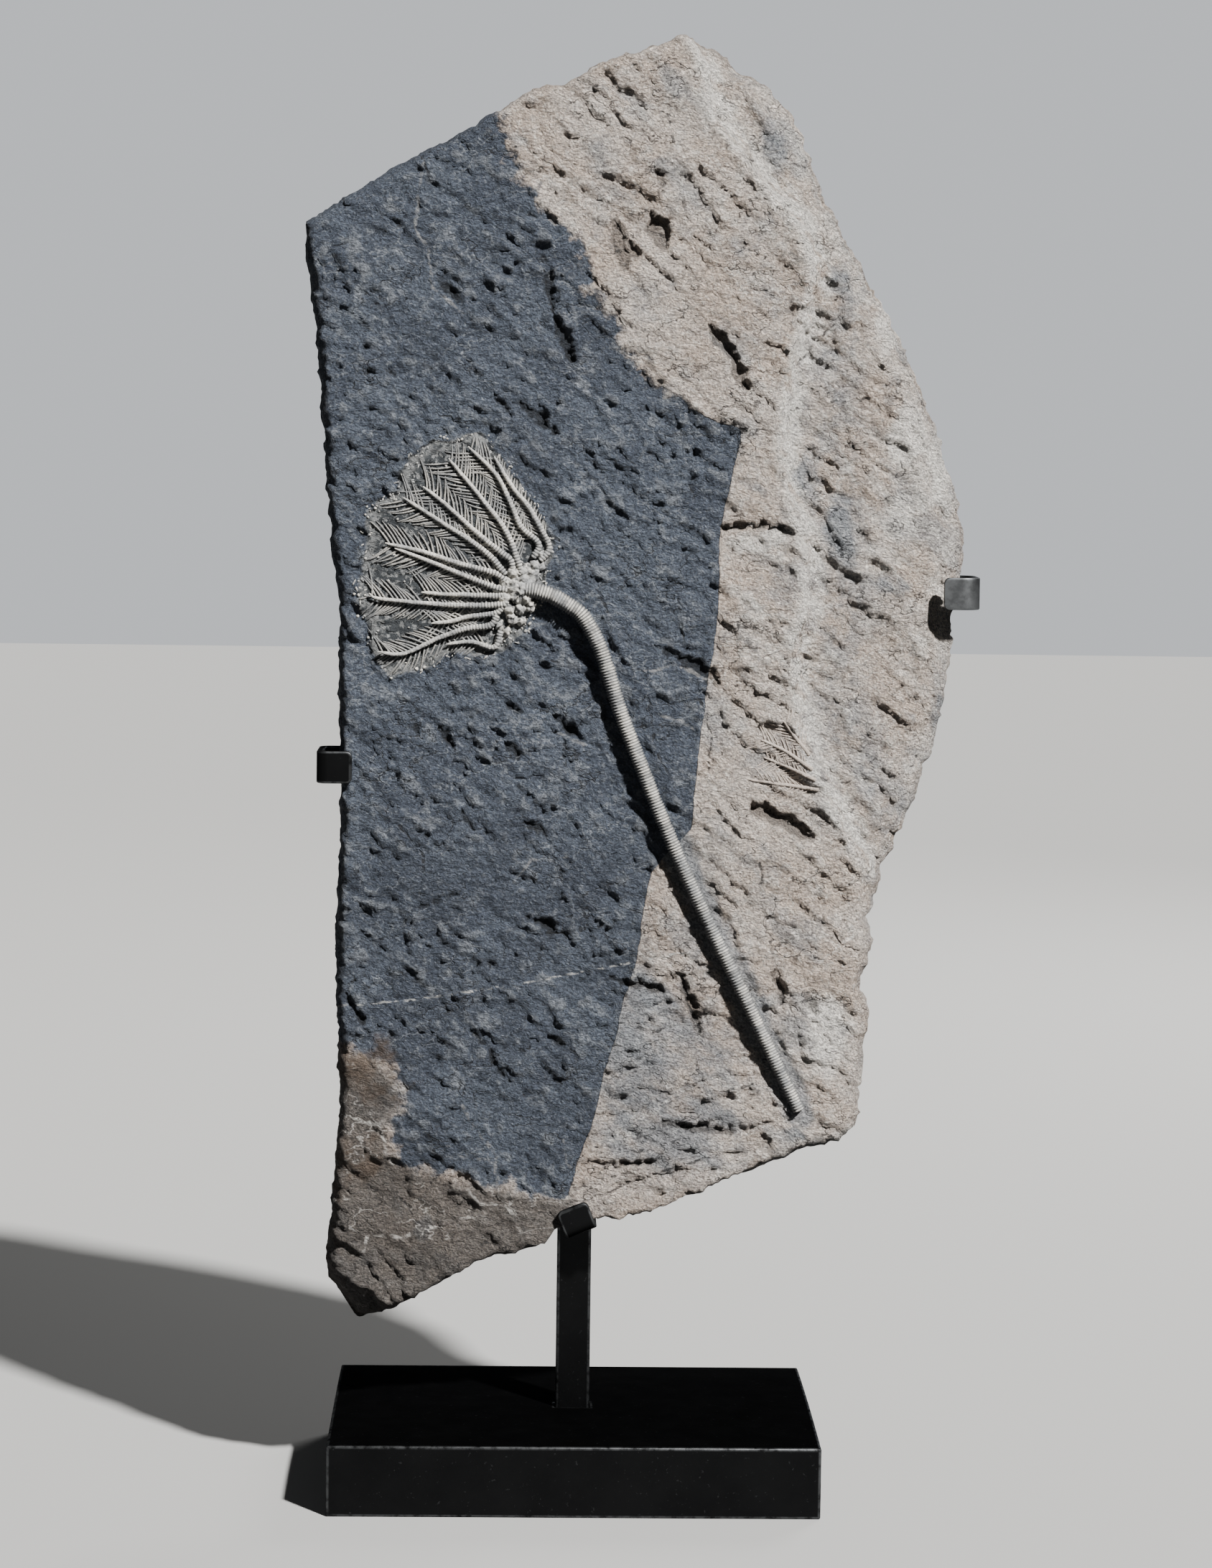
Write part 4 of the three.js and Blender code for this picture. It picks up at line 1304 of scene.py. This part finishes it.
def patches_group():
    """A mask of soft or crisp patches, drawn out along the grain where asked."""
    name = "Patches"
    if name in bpy.data.node_groups:
        return bpy.data.node_groups[name]
    tree, given, out = new_group(
        name, {"Scale": 100, "Detail": 4, "Low": 0.4, "High": 0.6, "Stretch": 1, "Shift": 0},
        ["Mask"])
    shape = add_node(tree, "ShaderNodeCombineXYZ", {0: given.outputs["Stretch"], 1: 1.0, 2: 1.0})
    drawn = add_node(tree, "ShaderNodeVectorMath", {0: along_grain(tree), 1: shape.outputs[0]},
                     operation="MULTIPLY")
    moved = add_node(tree, "ShaderNodeVectorMath", {0: drawn.outputs[0],
                                                    1: given.outputs["Shift"]}, operation="ADD")
    noise = cloudy(tree, moved.outputs[0], given.outputs["Scale"], given.outputs["Detail"], 0.6)
    mask = ramp(tree, noise, given.outputs["Low"], given.outputs["High"])
    tree.links.new(mask, out.inputs["Mask"])
    return tree


def patches(tree, scale, low, high, detail=4.0, stretch=1.0, shift=0.0):
    return add_node(tree, "ShaderNodeGroup", {
        "Scale": scale, "Detail": detail, "Low": low, "High": high, "Stretch": stretch,
        "Shift": shift}, node_tree=patches_group()).outputs["Mask"]


def hair_lines_group():
    """A mask of thin curved lines, here and there."""
    name = "Hair lines"
    if name in bpy.data.node_groups:
        return bpy.data.node_groups[name]
    tree, given, out = new_group(name, {"Scale": 60, "Width": 0.01, "Shift": 0}, ["Mask"])
    moved = add_node(tree, "ShaderNodeVectorMath", {0: along_grain(tree, (0.6, 1, 1)),
                                                    1: given.outputs["Shift"]}, operation="ADD")
    elsewhere = add_node(tree, "ShaderNodeVectorMath", {0: moved.outputs[0],
                                                        1: (3.1, 1.7, 2.3)}, operation="ADD")
    noise = cloudy(tree, moved.outputs[0], given.outputs["Scale"], 4, 0.55)
    off = sums(tree, "ABSOLUTE", sums(tree, "SUBTRACT", noise, 0.5))
    line = ramp(tree, off, given.outputs["Width"], 0.0)
    pieces = cloudy(tree, elsewhere.outputs[0], given.outputs["Scale"], 2, 0.5)
    kept = ramp(tree, pieces, 0.48, 0.58)
    tree.links.new(times(tree, line, kept), out.inputs["Mask"])
    return tree


def hair_lines(tree, scale, width, shift=0.0):
    return add_node(tree, "ShaderNodeGroup", {"Scale": scale, "Width": width, "Shift": shift},
                    node_tree=hair_lines_group()).outputs["Mask"]


def grain_group():
    """The height, in millimetres, of a fine broken surface with small sharp steps."""
    name = "Broken grain"
    if name in bpy.data.node_groups:
        return bpy.data.node_groups[name]
    tree, given, out = new_group(name, {"Size": 3, "Depth": 0.4, "Steps": 0.3}, ["Height"])
    turned = along_grain(tree, (0.62, 1, 1))
    scale = sums(tree, "DIVIDE", 1000, given.outputs["Size"])
    broad = times(tree, cloudy(tree, turned, scale, 6, 0.68, 0.6), given.outputs["Depth"])
    steps = cloudy(tree, turned, times(tree, scale, 0.6), 4, 0.6, 0.9)
    level = sums(tree, "SNAP", steps, 0.07)
    stepped = times(tree, level, given.outputs["Steps"])
    tree.links.new(sums(tree, "ADD", broad, stepped), out.inputs["Height"])
    return tree


def grain(tree, size, depth, steps):
    return add_node(tree, "ShaderNodeGroup", {"Size": size, "Depth": depth, "Steps": steps},
                    node_tree=grain_group()).outputs["Height"]


def finish_material(name):
    """A material, its node tree and its surface shader; only a new one has the last two."""
    if name in bpy.data.materials:
        return bpy.data.materials[name], None, None
    material = bpy.data.materials.new(name)
    material.use_nodes = True
    return material, material.node_tree, material.node_tree.nodes["Principled BSDF"]


def dress(tree, surface, colour, roughness, height, metallic=0.0):
    """Links a colour, a roughness and a height in millimetres to the surface shader."""
    tree.links.new(colour, surface.inputs["Base Color"])
    tree.links.new(roughness, surface.inputs["Roughness"])
    surface.inputs["Metallic"].default_value = metallic
    bump = add_node(tree, "ShaderNodeBump", {"Height": height, "Strength": 1.0, "Distance": MM})
    tree.links.new(bump.outputs[0], surface.inputs["Normal"])


def stone_material(settings):
    """Dark split limestone that has weathered to tan on one side of a crisp line."""
    material, tree, surface = finish_material("Split limestone")
    if tree is None:
        return material
    relief = stored(tree, "relief")
    ridge = ramp(tree, relief, -0.05, 0.5)
    # painted shade in pits, gouges and flake hollows: the stone darkens towards DEEP_SHADE on the dark
    # stone and WARM_SHADE on the tan
    painted_hollow_shade = ramp(tree, relief, -0.25, -1.3)

    dark = mixed(tree, patches(tree, 26, 0.4, 0.62), settings.dark_stone, settings.dark_stone_cool)
    # partly dust, partly painted highlight: raised places of the dark stone are lightened
    ridge_dust_and_highlight = times(tree, ridge, patches(tree, 130, 0.44, 0.64, 6, 0.7, shift=2))
    fleck = patches(tree, 620, 0.54, 0.66, 4, 0.7, shift=3)
    for mask, strength, tint in ((ridge_dust_and_highlight, 0.5, settings.dust_and_highlight), (fleck, 0.32, settings.dust_and_highlight),
                                 (painted_hollow_shade, 0.85, DEEP_SHADE)):
        dark = tinted(tree, dark, mask, strength, tint)

    layer = stored(tree, "layer")
    below = times(tree, ramp(tree, layer, 12.0, 22.0), ramp(tree, layer, 62.0, 30.0))
    crest = times(tree, ramp(tree, layer, -9.0, 1.0), ramp(tree, layer, 17.0, 6.0))
    tone = sums(tree, "ADD", stored(tree, "tone"),
                times(tree, patches(tree, 70, 0.3, 0.7, 7, 0.6, shift=20), 0.7))
    tan = mixed(tree, patches(tree, 24, 0.38, 0.60, 6, shift=5), settings.tan_stone,
                settings.tan_stone_warm)
    for mask, strength, tint in (
            (patches(tree, 36, 0.50, 0.66, 8, 0.6, shift=7), 0.6, settings.mottle),
            (times(tree, below, patches(tree, 60, 0.40, 0.62, 6, shift=6)), 0.6, settings.mottle),
            # partly lime, partly painted highlight: raised places of the tan stone are lightened
            (times(tree, ridge, patches(tree, 120, 0.44, 0.62, 6, shift=8)), 0.5,
             settings.pale_ridge_and_highlight),
            (patches(tree, 620, 0.54, 0.66, 4, 0.7, shift=9), 0.5, settings.pale_ridge_and_highlight),
            # partly lime, partly painted highlight: the crest of the step, the upper right rim and the
            # pale tone areas are lightened towards lime
            (times(tree, crest, patches(tree, 120, 0.36, 0.56, 6, 0.4, shift=10)), 0.9,
             settings.lime_and_highlight),
            (times(tree, stored(tree, "lime_and_highlight"), patches(tree, 50, 0.38, 0.62, 6, shift=15)), 0.4,
             settings.lime_and_highlight),
            (ramp(tree, tone, 0.55, 1.3), 0.8, settings.lime_and_highlight),
            (ramp(tree, tone, 0.15, -0.75), 0.8, settings.mottle),
            # partly brown stone, partly painted shade: the lower left corner tilts away from the light
            (stored(tree, "corner"), 0.85, settings.corner),
            (painted_hollow_shade, 0.65, WARM_SHADE)):
        tan = tinted(tree, tan, mask, strength, tint)
    wander = times(tree, patches(tree, 90, 0.3, 0.7, 5), 5.0)
    by_stem = ramp(tree, sums(tree, "ADD", stored(tree, "stem_distance"), wander), 16.0, 9.0)
    tan = tinted(tree, tan, by_stem, 0.75, settings.mottle)

    ragged = sums(tree, "MULTIPLY_ADD", patches(tree, 110, 0.3, 0.7, 7, shift=4), 2.0)
    ragged.node.inputs[2].default_value = -1.0
    is_tan = ramp(tree, sums(tree, "ADD", stored(tree, "tan"), ragged), -0.75, 0.75)
    bolder = ramp(tree, is_tan, 0.0, 1.0, 1.35, 1.7)
    stone = mixed(tree, is_tan, dark, tan)

    stone = tinted(tree, stone, hair_lines(tree, 42, 0.014), 0.5,
                   mixed(tree, is_tan, settings.dust_and_highlight, settings.lime_and_highlight))
    # painted shade in thin cracks, along the listed lines and at random
    placed = times(tree, ramp(tree, stored(tree, "dark_line"), 1.1, 0.3),
                   patches(tree, 80, 0.32, 0.5, 5, shift=18))
    dark_line = sums(tree, "MAXIMUM", hair_lines(tree, 50, 0.014, 4.0), placed)
    stone = tinted(tree, stone, dark_line, 0.8, CRACK_SHADE)
    speckle = mixed(tree, patches(tree, 850, 0.3, 0.7, 4, 0.7, shift=19),
                    (0.52, 0.52, 0.54), (1.5, 1.5, 1.48))
    stone = mixed(tree, 1.0, stone, speckle, "MULTIPLY")

    patch = ramp(tree, sums(tree, "ADD", stored(tree, "crown"), ragged), -1.6, 1.2)
    # partly dark stone, partly painted shade between the arms
    bed = mixed(tree, patches(tree, 330, 0.50, 0.62, 4), settings.crown_bed_and_shade, settings.calcite_dust)
    edge = times(tree, ramp(tree, stored(tree, "crown"), 9.0, 3.0),
                 patches(tree, 260, 0.38, 0.56, 4, shift=17))
    bed = tinted(tree, bed, edge, 0.8, settings.calcite_dust)
    stone = mixed(tree, patch, stone, bed)

    vein = times(tree, ramp(tree, stored(tree, "vein"), 1.0, 0.3),
                 patches(tree, 110, 0.40, 0.52, 5, shift=11))
    stone = mixed(tree, vein, stone, VEIN_CALCITE)
    crack = times(tree, ramp(tree, stored(tree, "crack"), 1.4, 0.4),
                  patches(tree, 100, 0.40, 0.58, 5, shift=12))
    stone = tinted(tree, stone, crack, 0.7, mixed(tree, is_tan, CRACK_DUST, settings.lime_and_highlight))
    stain = times(tree, stored(tree, "ochre"), patches(tree, 60, 0.36, 0.62, 6, shift=13))
    stone = tinted(tree, stone, stain, 0.75, settings.ochre)
    # painted shade from the side attribute
    side = times(tree, stored(tree, "side"), patches(tree, 34, 0.25, 0.7, 7, shift=16))
    stone = mixed(tree, side, stone, SIDE_SHADE, "MULTIPLY")
    rough = ramp(tree, patches(tree, 200, 0.3, 0.7, shift=14), 0.0, 1.0, 0.78, 0.95)
    calmer = ramp(tree, stored(tree, "crown"), -1.0, 1.5, 1.0, 0.4)
    height = times(tree, grain(tree, 3.0, 6.5, 9.0), bolder)
    height = sums(tree, "SUBTRACT", height, times(tree, dark_line, 1.4))
    dress(tree, surface, stone, rough, times(tree, height, calmer))
    surface.inputs["Specular IOR Level"].default_value = 0.35
    return material


def fossil_material(settings, name, weathered=0.0):
    """Cream calcite with grey in the grooves, and painted shade where the piece's groove attribute
    carries it.
    """
    material, tree, surface = finish_material(name)
    if tree is None:
        return material
    colour = mixed(tree, patches(tree, 70, 0.35, 0.65, shift=1), settings.calcite,
                   settings.calcite_cool)
    fleck = patches(tree, 330, 0.5, 0.66, 5, shift=3)
    colour = tinted(tree, colour, fleck, 0.45, settings.groove)
    # the groove attribute also holds painted shade on the column's lower left side and foot, and in the
    # cup's hollows
    groove = ramp(tree, stored(tree, "groove"), 0.15, 1.0)
    colour = tinted(tree, colour, groove, 0.9, settings.groove)
    if weathered:
        tint = patches(tree, 110, 0.15, 0.45, 5, shift=6)
        colour = tinted(tree, colour, tint, weathered, settings.weathered)
    rough = ramp(tree, patches(tree, 120, 0.3, 0.7, shift=5), 0.0, 1.0, 0.55, 0.78)
    dress(tree, surface, colour, rough, grain(tree, 1.6, 1.4, 1.0))
    return material


def steel_material(settings):
    """Blackened mild steel, satin, a little rubbed on its edges, with a painted sheen on the right
    strap's front leaf.
    """
    material, tree, surface = finish_material("Blackened steel")
    if tree is None:
        return material
    colour = mixed(tree, patches(tree, 28, 0.25, 0.75, 6), settings.steel, settings.steel_cool)
    rub = times(tree, ramp(tree, stored(tree, "worn"), 0.35, 0.95),
                patches(tree, 180, 0.3, 0.6, 6, shift=3))
    speck = times(tree, patches(tree, 420, 0.66, 0.72, 3, shift=4), 0.15)
    worn = sums(tree, "MAXIMUM", times(tree, rub, settings.rubbing), speck)
    # painted sheen on the right strap's front leaf
    painted_sheen = times(tree, ramp(tree, stored(tree, "worn"), 1.1, 1.9),
                 ramp(tree, patches(tree, 110, 0.3, 0.65, 6, shift=6), 0, 1, 0.55, 1.0))
    worn = sums(tree, "MAXIMUM", worn, painted_sheen)
    colour = mixed(tree, worn, colour, settings.bare_steel)
    rough = ramp(tree, patches(tree, 60, 0.2, 0.8, 6, shift=5), 0.0, 1.0, 0.465, 0.515)
    dress(tree, surface, colour, rough, grain(tree, 2.0, 0.06, 0.0), 1.0)
    surface.inputs["Specular Tint"].default_value = STEEL_GLINT
    return material


def place(piece, slot, material, nodes=()):
    """Gives a piece its finish and its place in the part."""
    piece.data.materials.clear()
    piece.data.materials.append(material)
    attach(piece, "root")
    for node in nodes:
        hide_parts(node)


# ---- settings ------------------------------------------------------------------------------------


def length(name, description, value):
    """A length property; the value is given in millimetres."""
    return FloatProperty(name=name, description=description, default=value * MM, min=0.05 * MM,
                         unit="LENGTH", precision=5)


def colour(name, description, value):
    return FloatVectorProperty(name=name, description=description, default=value, size=3,
                               min=0, max=1, subtype="COLOR")


def plain(settings):
    """The settings as plain values, with lengths in millimetres."""
    values = {}
    for prop in settings.bl_rna.properties:
        if prop.identifier not in ("rna_type", "name"):
            value = getattr(settings, prop.identifier)
            values[prop.identifier] = value / MM if prop.unit == "LENGTH" else value
    return SimpleNamespace(**values)


class FossilStoneSettings(bpy.types.PropertyGroup):
    """The slab's mesh and the stone's colours."""
    face_step: length("Face step", "Distance between points on the face", 1.95)
    rim_step: length("Rim step", "Distance between points along the rim", 2.2)
    back_step: length("Back step", "Distance between points on the back", 5.0)
    edge_rows: IntProperty(name="Edge rows", description="Rows of faces through the thickness",
                           default=10, min=3, max=30)
    dark_stone: colour("Dark stone", "Fresh stone", (0.061, 0.074, 0.101))
    dark_stone_cool: colour("Cool dark stone", "Fresh stone in patches", (0.085, 0.102, 0.134))
    # also a painted highlight on the raised places of the dark stone
    dust_and_highlight: colour("Dust", "Pale dust on the ridges", (0.29, 0.31, 0.335))
    tan_stone: colour("Tan stone", "Weathered stone", (0.62, 0.545, 0.485))
    tan_stone_warm: colour("Warm tan stone", "Weathered stone in patches", (0.56, 0.46, 0.385))
    mottle: colour("Mottle", "Grey mottles in the weathered stone", (0.27, 0.295, 0.325))
    # also a painted highlight on the raised places of the tan stone
    pale_ridge_and_highlight: colour("Pale ridge", "Lime on the ridges", (0.82, 0.79, 0.74))
    # also a painted highlight on the crest, the upper right rim and the pale tone areas
    lime_and_highlight: colour("Lime", "Lime on broken edges", (0.90, 0.865, 0.81))
    # partly brown stone, partly painted shade on the lower left corner, which tilts away from the light
    corner: colour("Corner", "Brown stone in the lower corner", (0.086, 0.077, 0.070))
    # partly dark stone, partly painted shade between the arms
    crown_bed_and_shade: colour("Crown bed", "Stone between the arms", (0.040, 0.045, 0.050))
    calcite_dust: colour("Calcite dust", "Crushed fossil between the arms", (0.23, 0.235, 0.235))
    ochre: colour("Ochre", "Iron stain", (0.125, 0.088, 0.062))


class FossilCrinoidSettings(bpy.types.PropertyGroup):
    """The crinoid's column, arms and side branches, and their colours."""
    disc_pitch: length("Disc pitch", "Distance between the column's discs", 1.8)
    stem_sides: IntProperty(name="Column sides", description="Points round the column",
                            default=22, min=8, max=64)
    ossicle_pitch: length("Ossicle pitch", "Distance between the joints of an arm", 1.9)
    arm_sides: IntProperty(name="Arm sides", description="Points round an arm",
                           default=14, min=6, max=32)
    pinnule_pitch: length("Pinnule pitch", "Distance between side branches", 2.75)
    pinnule_reach: length("Pinnule reach", "Length of the side branches", 17.0)
    pinnule_radius: length("Pinnule radius", "Radius of the side branches", 0.6)
    ossicle_count: IntProperty(name="Loose plates", description="Number of loose plates",
                               default=420, min=0, max=2000)
    calcite: colour("Calcite", "The fossil's colour", (0.77, 0.735, 0.665))
    calcite_cool: colour("Cool calcite", "The fossil's colour in patches", (0.36, 0.365, 0.365))
    # also the colour of painted shade on the column's lower left side and foot, and in the cup's
    # hollows
    groove: colour("Groove", "Dark fill in the grooves", (0.075, 0.078, 0.082))
    weathered: colour("Weathered", "The second crinoid's colour", (0.47, 0.40, 0.345))


class FossilStandSettings(bpy.types.PropertyGroup):
    """The steel stand."""
    edge_ease: length("Edge ease", "How far the steel's edges are broken", 1.1)
    steel: colour("Steel", "Blackened steel", (0.0088, 0.0090, 0.0095))
    steel_cool: colour("Cool steel", "Blackened steel in patches", (0.0113, 0.0116, 0.0121))
    # also the colour of the painted sheen on the right strap's front leaf
    bare_steel: colour("Bare steel", "Steel where it is rubbed", (0.12, 0.125, 0.13))
    rubbing: FloatProperty(name="Rubbing", description="How much the edges are rubbed",
                           default=0.5, min=0, max=1, subtype="FACTOR")


class FossilStageSettings(bpy.types.PropertyGroup):
    """The floor and the lights."""
    key_power: FloatProperty(name="Key light", description="Strength of the main light",
                             default=11.2, min=0)
    fill_power: FloatProperty(name="Fill light", description="Power of the broad light",
                              default=4.0, min=0)
    world: FloatProperty(name="Surroundings", description="Strength of the even light",
                         default=0.035, min=0)
    back_power: FloatProperty(name="Back light", description="Power of the light behind",
                              default=45, min=0)
    backdrop: FloatProperty(name="Backdrop", description="Brightness behind the object",
                            default=0.66, min=0)
    floor: colour("Floor", "Colour of the floor", (0.36, 0.36, 0.355))


# ---- operators -----------------------------------------------------------------------------------


def crinoid_materials(scene):
    settings = plain(scene.fossil_crinoid)
    return settings, fossil_material(settings, "Calcite"), fossil_material(
        settings, "Weathered calcite", 0.95)


class FossilSlab(bpy.types.Operator):
    """Builds the limestone slab"""
    bl_idname = "fossil.slab"
    bl_label = "Slab"

    def execute(self, context):
        settings = plain(context.scene.fossil_stone)
        place(build_slab(settings), "slab_stone", stone_material(settings), ["slab"])
        return {"FINISHED"}


class FossilStem(bpy.types.Operator):
    """Builds the column"""
    bl_idname = "fossil.stem"
    bl_label = "Column"

    def execute(self, context):
        settings, calcite, _ = crinoid_materials(context.scene)
        place(build_stem(settings), "fossil_calcite", calcite, ["stem"])
        return {"FINISHED"}


class FossilArms(bpy.types.Operator):
    """Builds the arms of the large crinoid"""
    bl_idname = "fossil.arms"
    bl_label = "Arms"

    def execute(self, context):
        settings, calcite, _ = crinoid_materials(context.scene)
        for number, line in enumerate(ARM_LINES, 1):
            rise = ARM_RISE.get(number, 1.0) + ARM_LIFT
            arm = build_arm(f"arm_rod_{number:02d}", from_cup(line), settings, ARM_RADII, rise)
            place(arm, "fossil_calcite", calcite, [f"arm_{number:02d}"])
        return {"FINISHED"}


class FossilCalyx(bpy.types.Operator):
    """Builds the cup that the arms grow from"""
    bl_idname = "fossil.calyx"
    bl_label = "Calyx"

    def execute(self, context):
        _, calcite, _ = crinoid_materials(context.scene)
        place(build_calyx(), "fossil_calcite", calcite, ["calyx"])
        return {"FINISHED"}


class FossilPinnules(bpy.types.Operator):
    """Builds the side branches between the arms"""
    bl_idname = "fossil.pinnules"
    bl_label = "Pinnules"

    def execute(self, context):
        settings, calcite, _ = crinoid_materials(context.scene)
        combs = build_combs("pinnules", ARM_LINES, settings, settings.pinnule_reach,
                            CROWN_OUTLINE, settings.pinnule_radius, 0.7)
        place(combs, "fossil_calcite", calcite)
        return {"FINISHED"}


class FossilOssicles(bpy.types.Operator):
    """Scatters loose plates over the crown"""
    bl_idname = "fossil.ossicles"
    bl_label = "Loose plates"

    def execute(self, context):
        settings, calcite, _ = crinoid_materials(context.scene)
        place(build_ossicles(settings), "fossil_calcite", calcite)
        return {"FINISHED"}


class FossilSmallCrinoid(bpy.types.Operator):
    """Builds the worn arms of the second crinoid"""
    bl_idname = "fossil.small_crinoid"
    bl_label = "Small crinoid"

    def execute(self, context):
        settings, _, weathered = crinoid_materials(context.scene)
        for number, line in enumerate(SMALL_ARM_LINES, 1):
            arm = build_arm(f"small_arm_rod_{number:02d}", line, settings, SMALL_ARM_RADII, 0.0)
            place(arm, "weathered_fossil", weathered, [f"small_arm_{number:02d}"])
        combs = build_combs("small_pinnules", SMALL_ARM_LINES, settings,
                            settings.pinnule_reach * 0.75, SMALL_CROWN_OUTLINE,
                            settings.pinnule_radius * 0.85, 0.1)
        place(combs, "weathered_fossil", weathered)
        return {"FINISHED"}


class FossilBase(bpy.types.Operator):
    """Builds the base plate and the post"""
    bl_idname = "fossil.base"
    bl_label = "Base and post"

    def execute(self, context):
        settings = plain(context.scene.fossil_stand)
        steel = steel_material(settings)
        place(steel_block("base_plate", "base", settings), "blackened_steel", steel, ["base"])
        place(steel_block("post_bar", "post", settings), "blackened_steel", steel, ["post"])
        return {"FINISHED"}


class FossilStraps(bpy.types.Operator):
    """Builds the two side straps and the hook under the slab"""
    bl_idname = "fossil.straps"
    bl_label = "Straps"

    def execute(self, context):
        steel = steel_material(plain(context.scene.fossil_stand))
        for node in LEAF_REACH:
            place(build_side_strap(f"{node}_bar", node), "blackened_steel", steel, [node])
        place(build_hook(), "blackened_steel", steel, ["bottom_hook"])
        return {"FINISHED"}


CAMERA_PLACE = (-0.0414, -2.329, 0.663)
CAMERA_YAW, CAMERA_DROP, CAMERA_ROLL = math.radians(1.4), math.radians(3.4), 0.013
KEY_WAY = (0.457, -0.571, 0.686)
KEY_DISTANCE, KEY_ANGLE = 2.7, math.radians(3)
LOOK_AT = Vector((0.02, -0.05, 0.45))
FLOOR_REACH = 9.0
LENS, SENSOR, SHIFT_UP = 85, 36, -0.0833


def aimed(point):
    """A turn that looks from a point to the middle of the slab."""
    return (LOOK_AT - Vector(point)).to_track_quat("-Z", "Y")


def add_light(name, place_at, size, power, tint):
    """A round soft light of a size, or a far one like the sun where the size is 0."""
    light = bpy.data.lights.new(name, "AREA" if size else "SUN")
    if size:
        light.shape = "DISK"
        light.size = size
    else:
        light.angle = KEY_ANGLE
    light.energy = power
    light.color = tint
    lamp = bpy.data.objects.new(name, light)
    lamp.location = place_at
    lamp.rotation_mode = "QUATERNION"
    lamp.rotation_quaternion = aimed(place_at)
    bpy.context.scene.collection.objects.link(lamp)


def camera_matrix():
    right = Vector((math.cos(CAMERA_YAW), -math.sin(CAMERA_YAW), 0))
    ahead = Vector((math.sin(CAMERA_YAW) * math.cos(CAMERA_DROP),
                    math.cos(CAMERA_YAW) * math.cos(CAMERA_DROP), -math.sin(CAMERA_DROP)))
    up = right.cross(ahead)
    c, s = math.cos(CAMERA_ROLL), math.sin(CAMERA_ROLL)
    axes = Matrix((c * right + s * up, c * up - s * right, -ahead)).transposed()
    return Matrix.Translation(CAMERA_PLACE) @ axes.to_4x4()


class FossilStage(bpy.types.Operator):
    """Builds the floor, the lights and the camera"""
    bl_idname = "fossil.stage"
    bl_label = "Stage"

    def execute(self, context):
        settings = plain(context.scene.fossil_stage)
        reach = FLOOR_REACH / MM
        corners = [(-reach, -reach, 0), (reach, -reach, 0), (reach, reach, 0), (-reach, reach, 0)]
        floor = new_piece("studio_floor", corners, [[0, 1, 2, 3]], smooth=False)
        material, tree, surface = finish_material("Studio paper")
        if tree is not None:
            surface.inputs["Base Color"].default_value = (*settings.floor, 1)
            surface.inputs["Roughness"].default_value = 0.9
        floor.data.materials.append(material)
        floor.visible_diffuse = False

        key_place = LOOK_AT + Vector(KEY_WAY) * KEY_DISTANCE
        add_light("key", key_place, 0, settings.key_power, (1.0, 0.985, 0.96))
        add_light("fill", (-1.9, -2.2, 1.5), 2.4, settings.fill_power, (0.95, 0.975, 1.0))
        add_light("back", (1.5, 2.3, 1.7), 1.2, settings.back_power, (1.0, 0.99, 0.97))
        world = context.scene.world or bpy.data.worlds.new("Studio")
        context.scene.world = world
        world.use_nodes = True
        surroundings = world.node_tree
        back = surroundings.nodes["Background"]
        back.inputs["Color"].default_value = (0.93, 0.96, 1.0, 1)
        ray = add_node(surroundings, "ShaderNodeLightPath")
        seen = ramp(surroundings, ray.outputs["Is Camera Ray"], 0, 1, 0, settings.backdrop)
        mirrored = ramp(surroundings, ray.outputs["Is Glossy Ray"], 0, 1, settings.world, 0.1)
        strength = sums(surroundings, "ADD", seen, mirrored)
        surroundings.links.new(strength, back.inputs["Strength"])

        lens = bpy.data.cameras.new("Camera")
        lens.lens = LENS
        lens.sensor_width = SENSOR
        lens.shift_y = SHIFT_UP
        lens.clip_start = 0.05
        camera = bpy.data.objects.new("Camera", lens)
        camera.matrix_world = camera_matrix()
        context.scene.collection.objects.link(camera)
        context.scene.camera = camera
        return {"FINISHED"}


OPERATORS = (FossilSlab, FossilStem, FossilArms, FossilCalyx, FossilPinnules, FossilOssicles,
             FossilSmallCrinoid, FossilBase, FossilStraps, FossilStage)


class FossilPanel(bpy.types.Panel):
    """Lists the pieces in the order they are built"""
    bl_idname = "VIEW3D_PT_fossil"
    bl_label = "Crinoid slab"
    bl_space_type = "VIEW_3D"
    bl_region_type = "UI"
    bl_category = "Fossil"

    def draw(self, context):
        column = self.layout.column()
        for operator in OPERATORS:
            column.operator(operator.bl_idname)
        for group in SETTINGS:
            settings = getattr(context.scene, group)
            for prop in settings.bl_rna.properties:
                if prop.identifier not in ("rna_type", "name"):
                    column.prop(settings, prop.identifier)


SETTINGS = {
    "fossil_stone": FossilStoneSettings,
    "fossil_crinoid": FossilCrinoidSettings,
    "fossil_stand": FossilStandSettings,
    "fossil_stage": FossilStageSettings,
}
CLASSES = (*SETTINGS.values(), *OPERATORS, FossilPanel)


def register():
    for cls in CLASSES:
        bpy.utils.register_class(cls)
    for name, cls in SETTINGS.items():
        setattr(bpy.types.Scene, name, PointerProperty(type=cls))


def unregister():
    for name in SETTINGS:
        delattr(bpy.types.Scene, name)
    for cls in reversed(CLASSES):
        bpy.utils.unregister_class(cls)


def main():
    register()
    for operator in OPERATORS:
        family, action = operator.bl_idname.split(".")
        getattr(getattr(bpy.ops, family), action)()


if __name__ == "__main__":
    main()
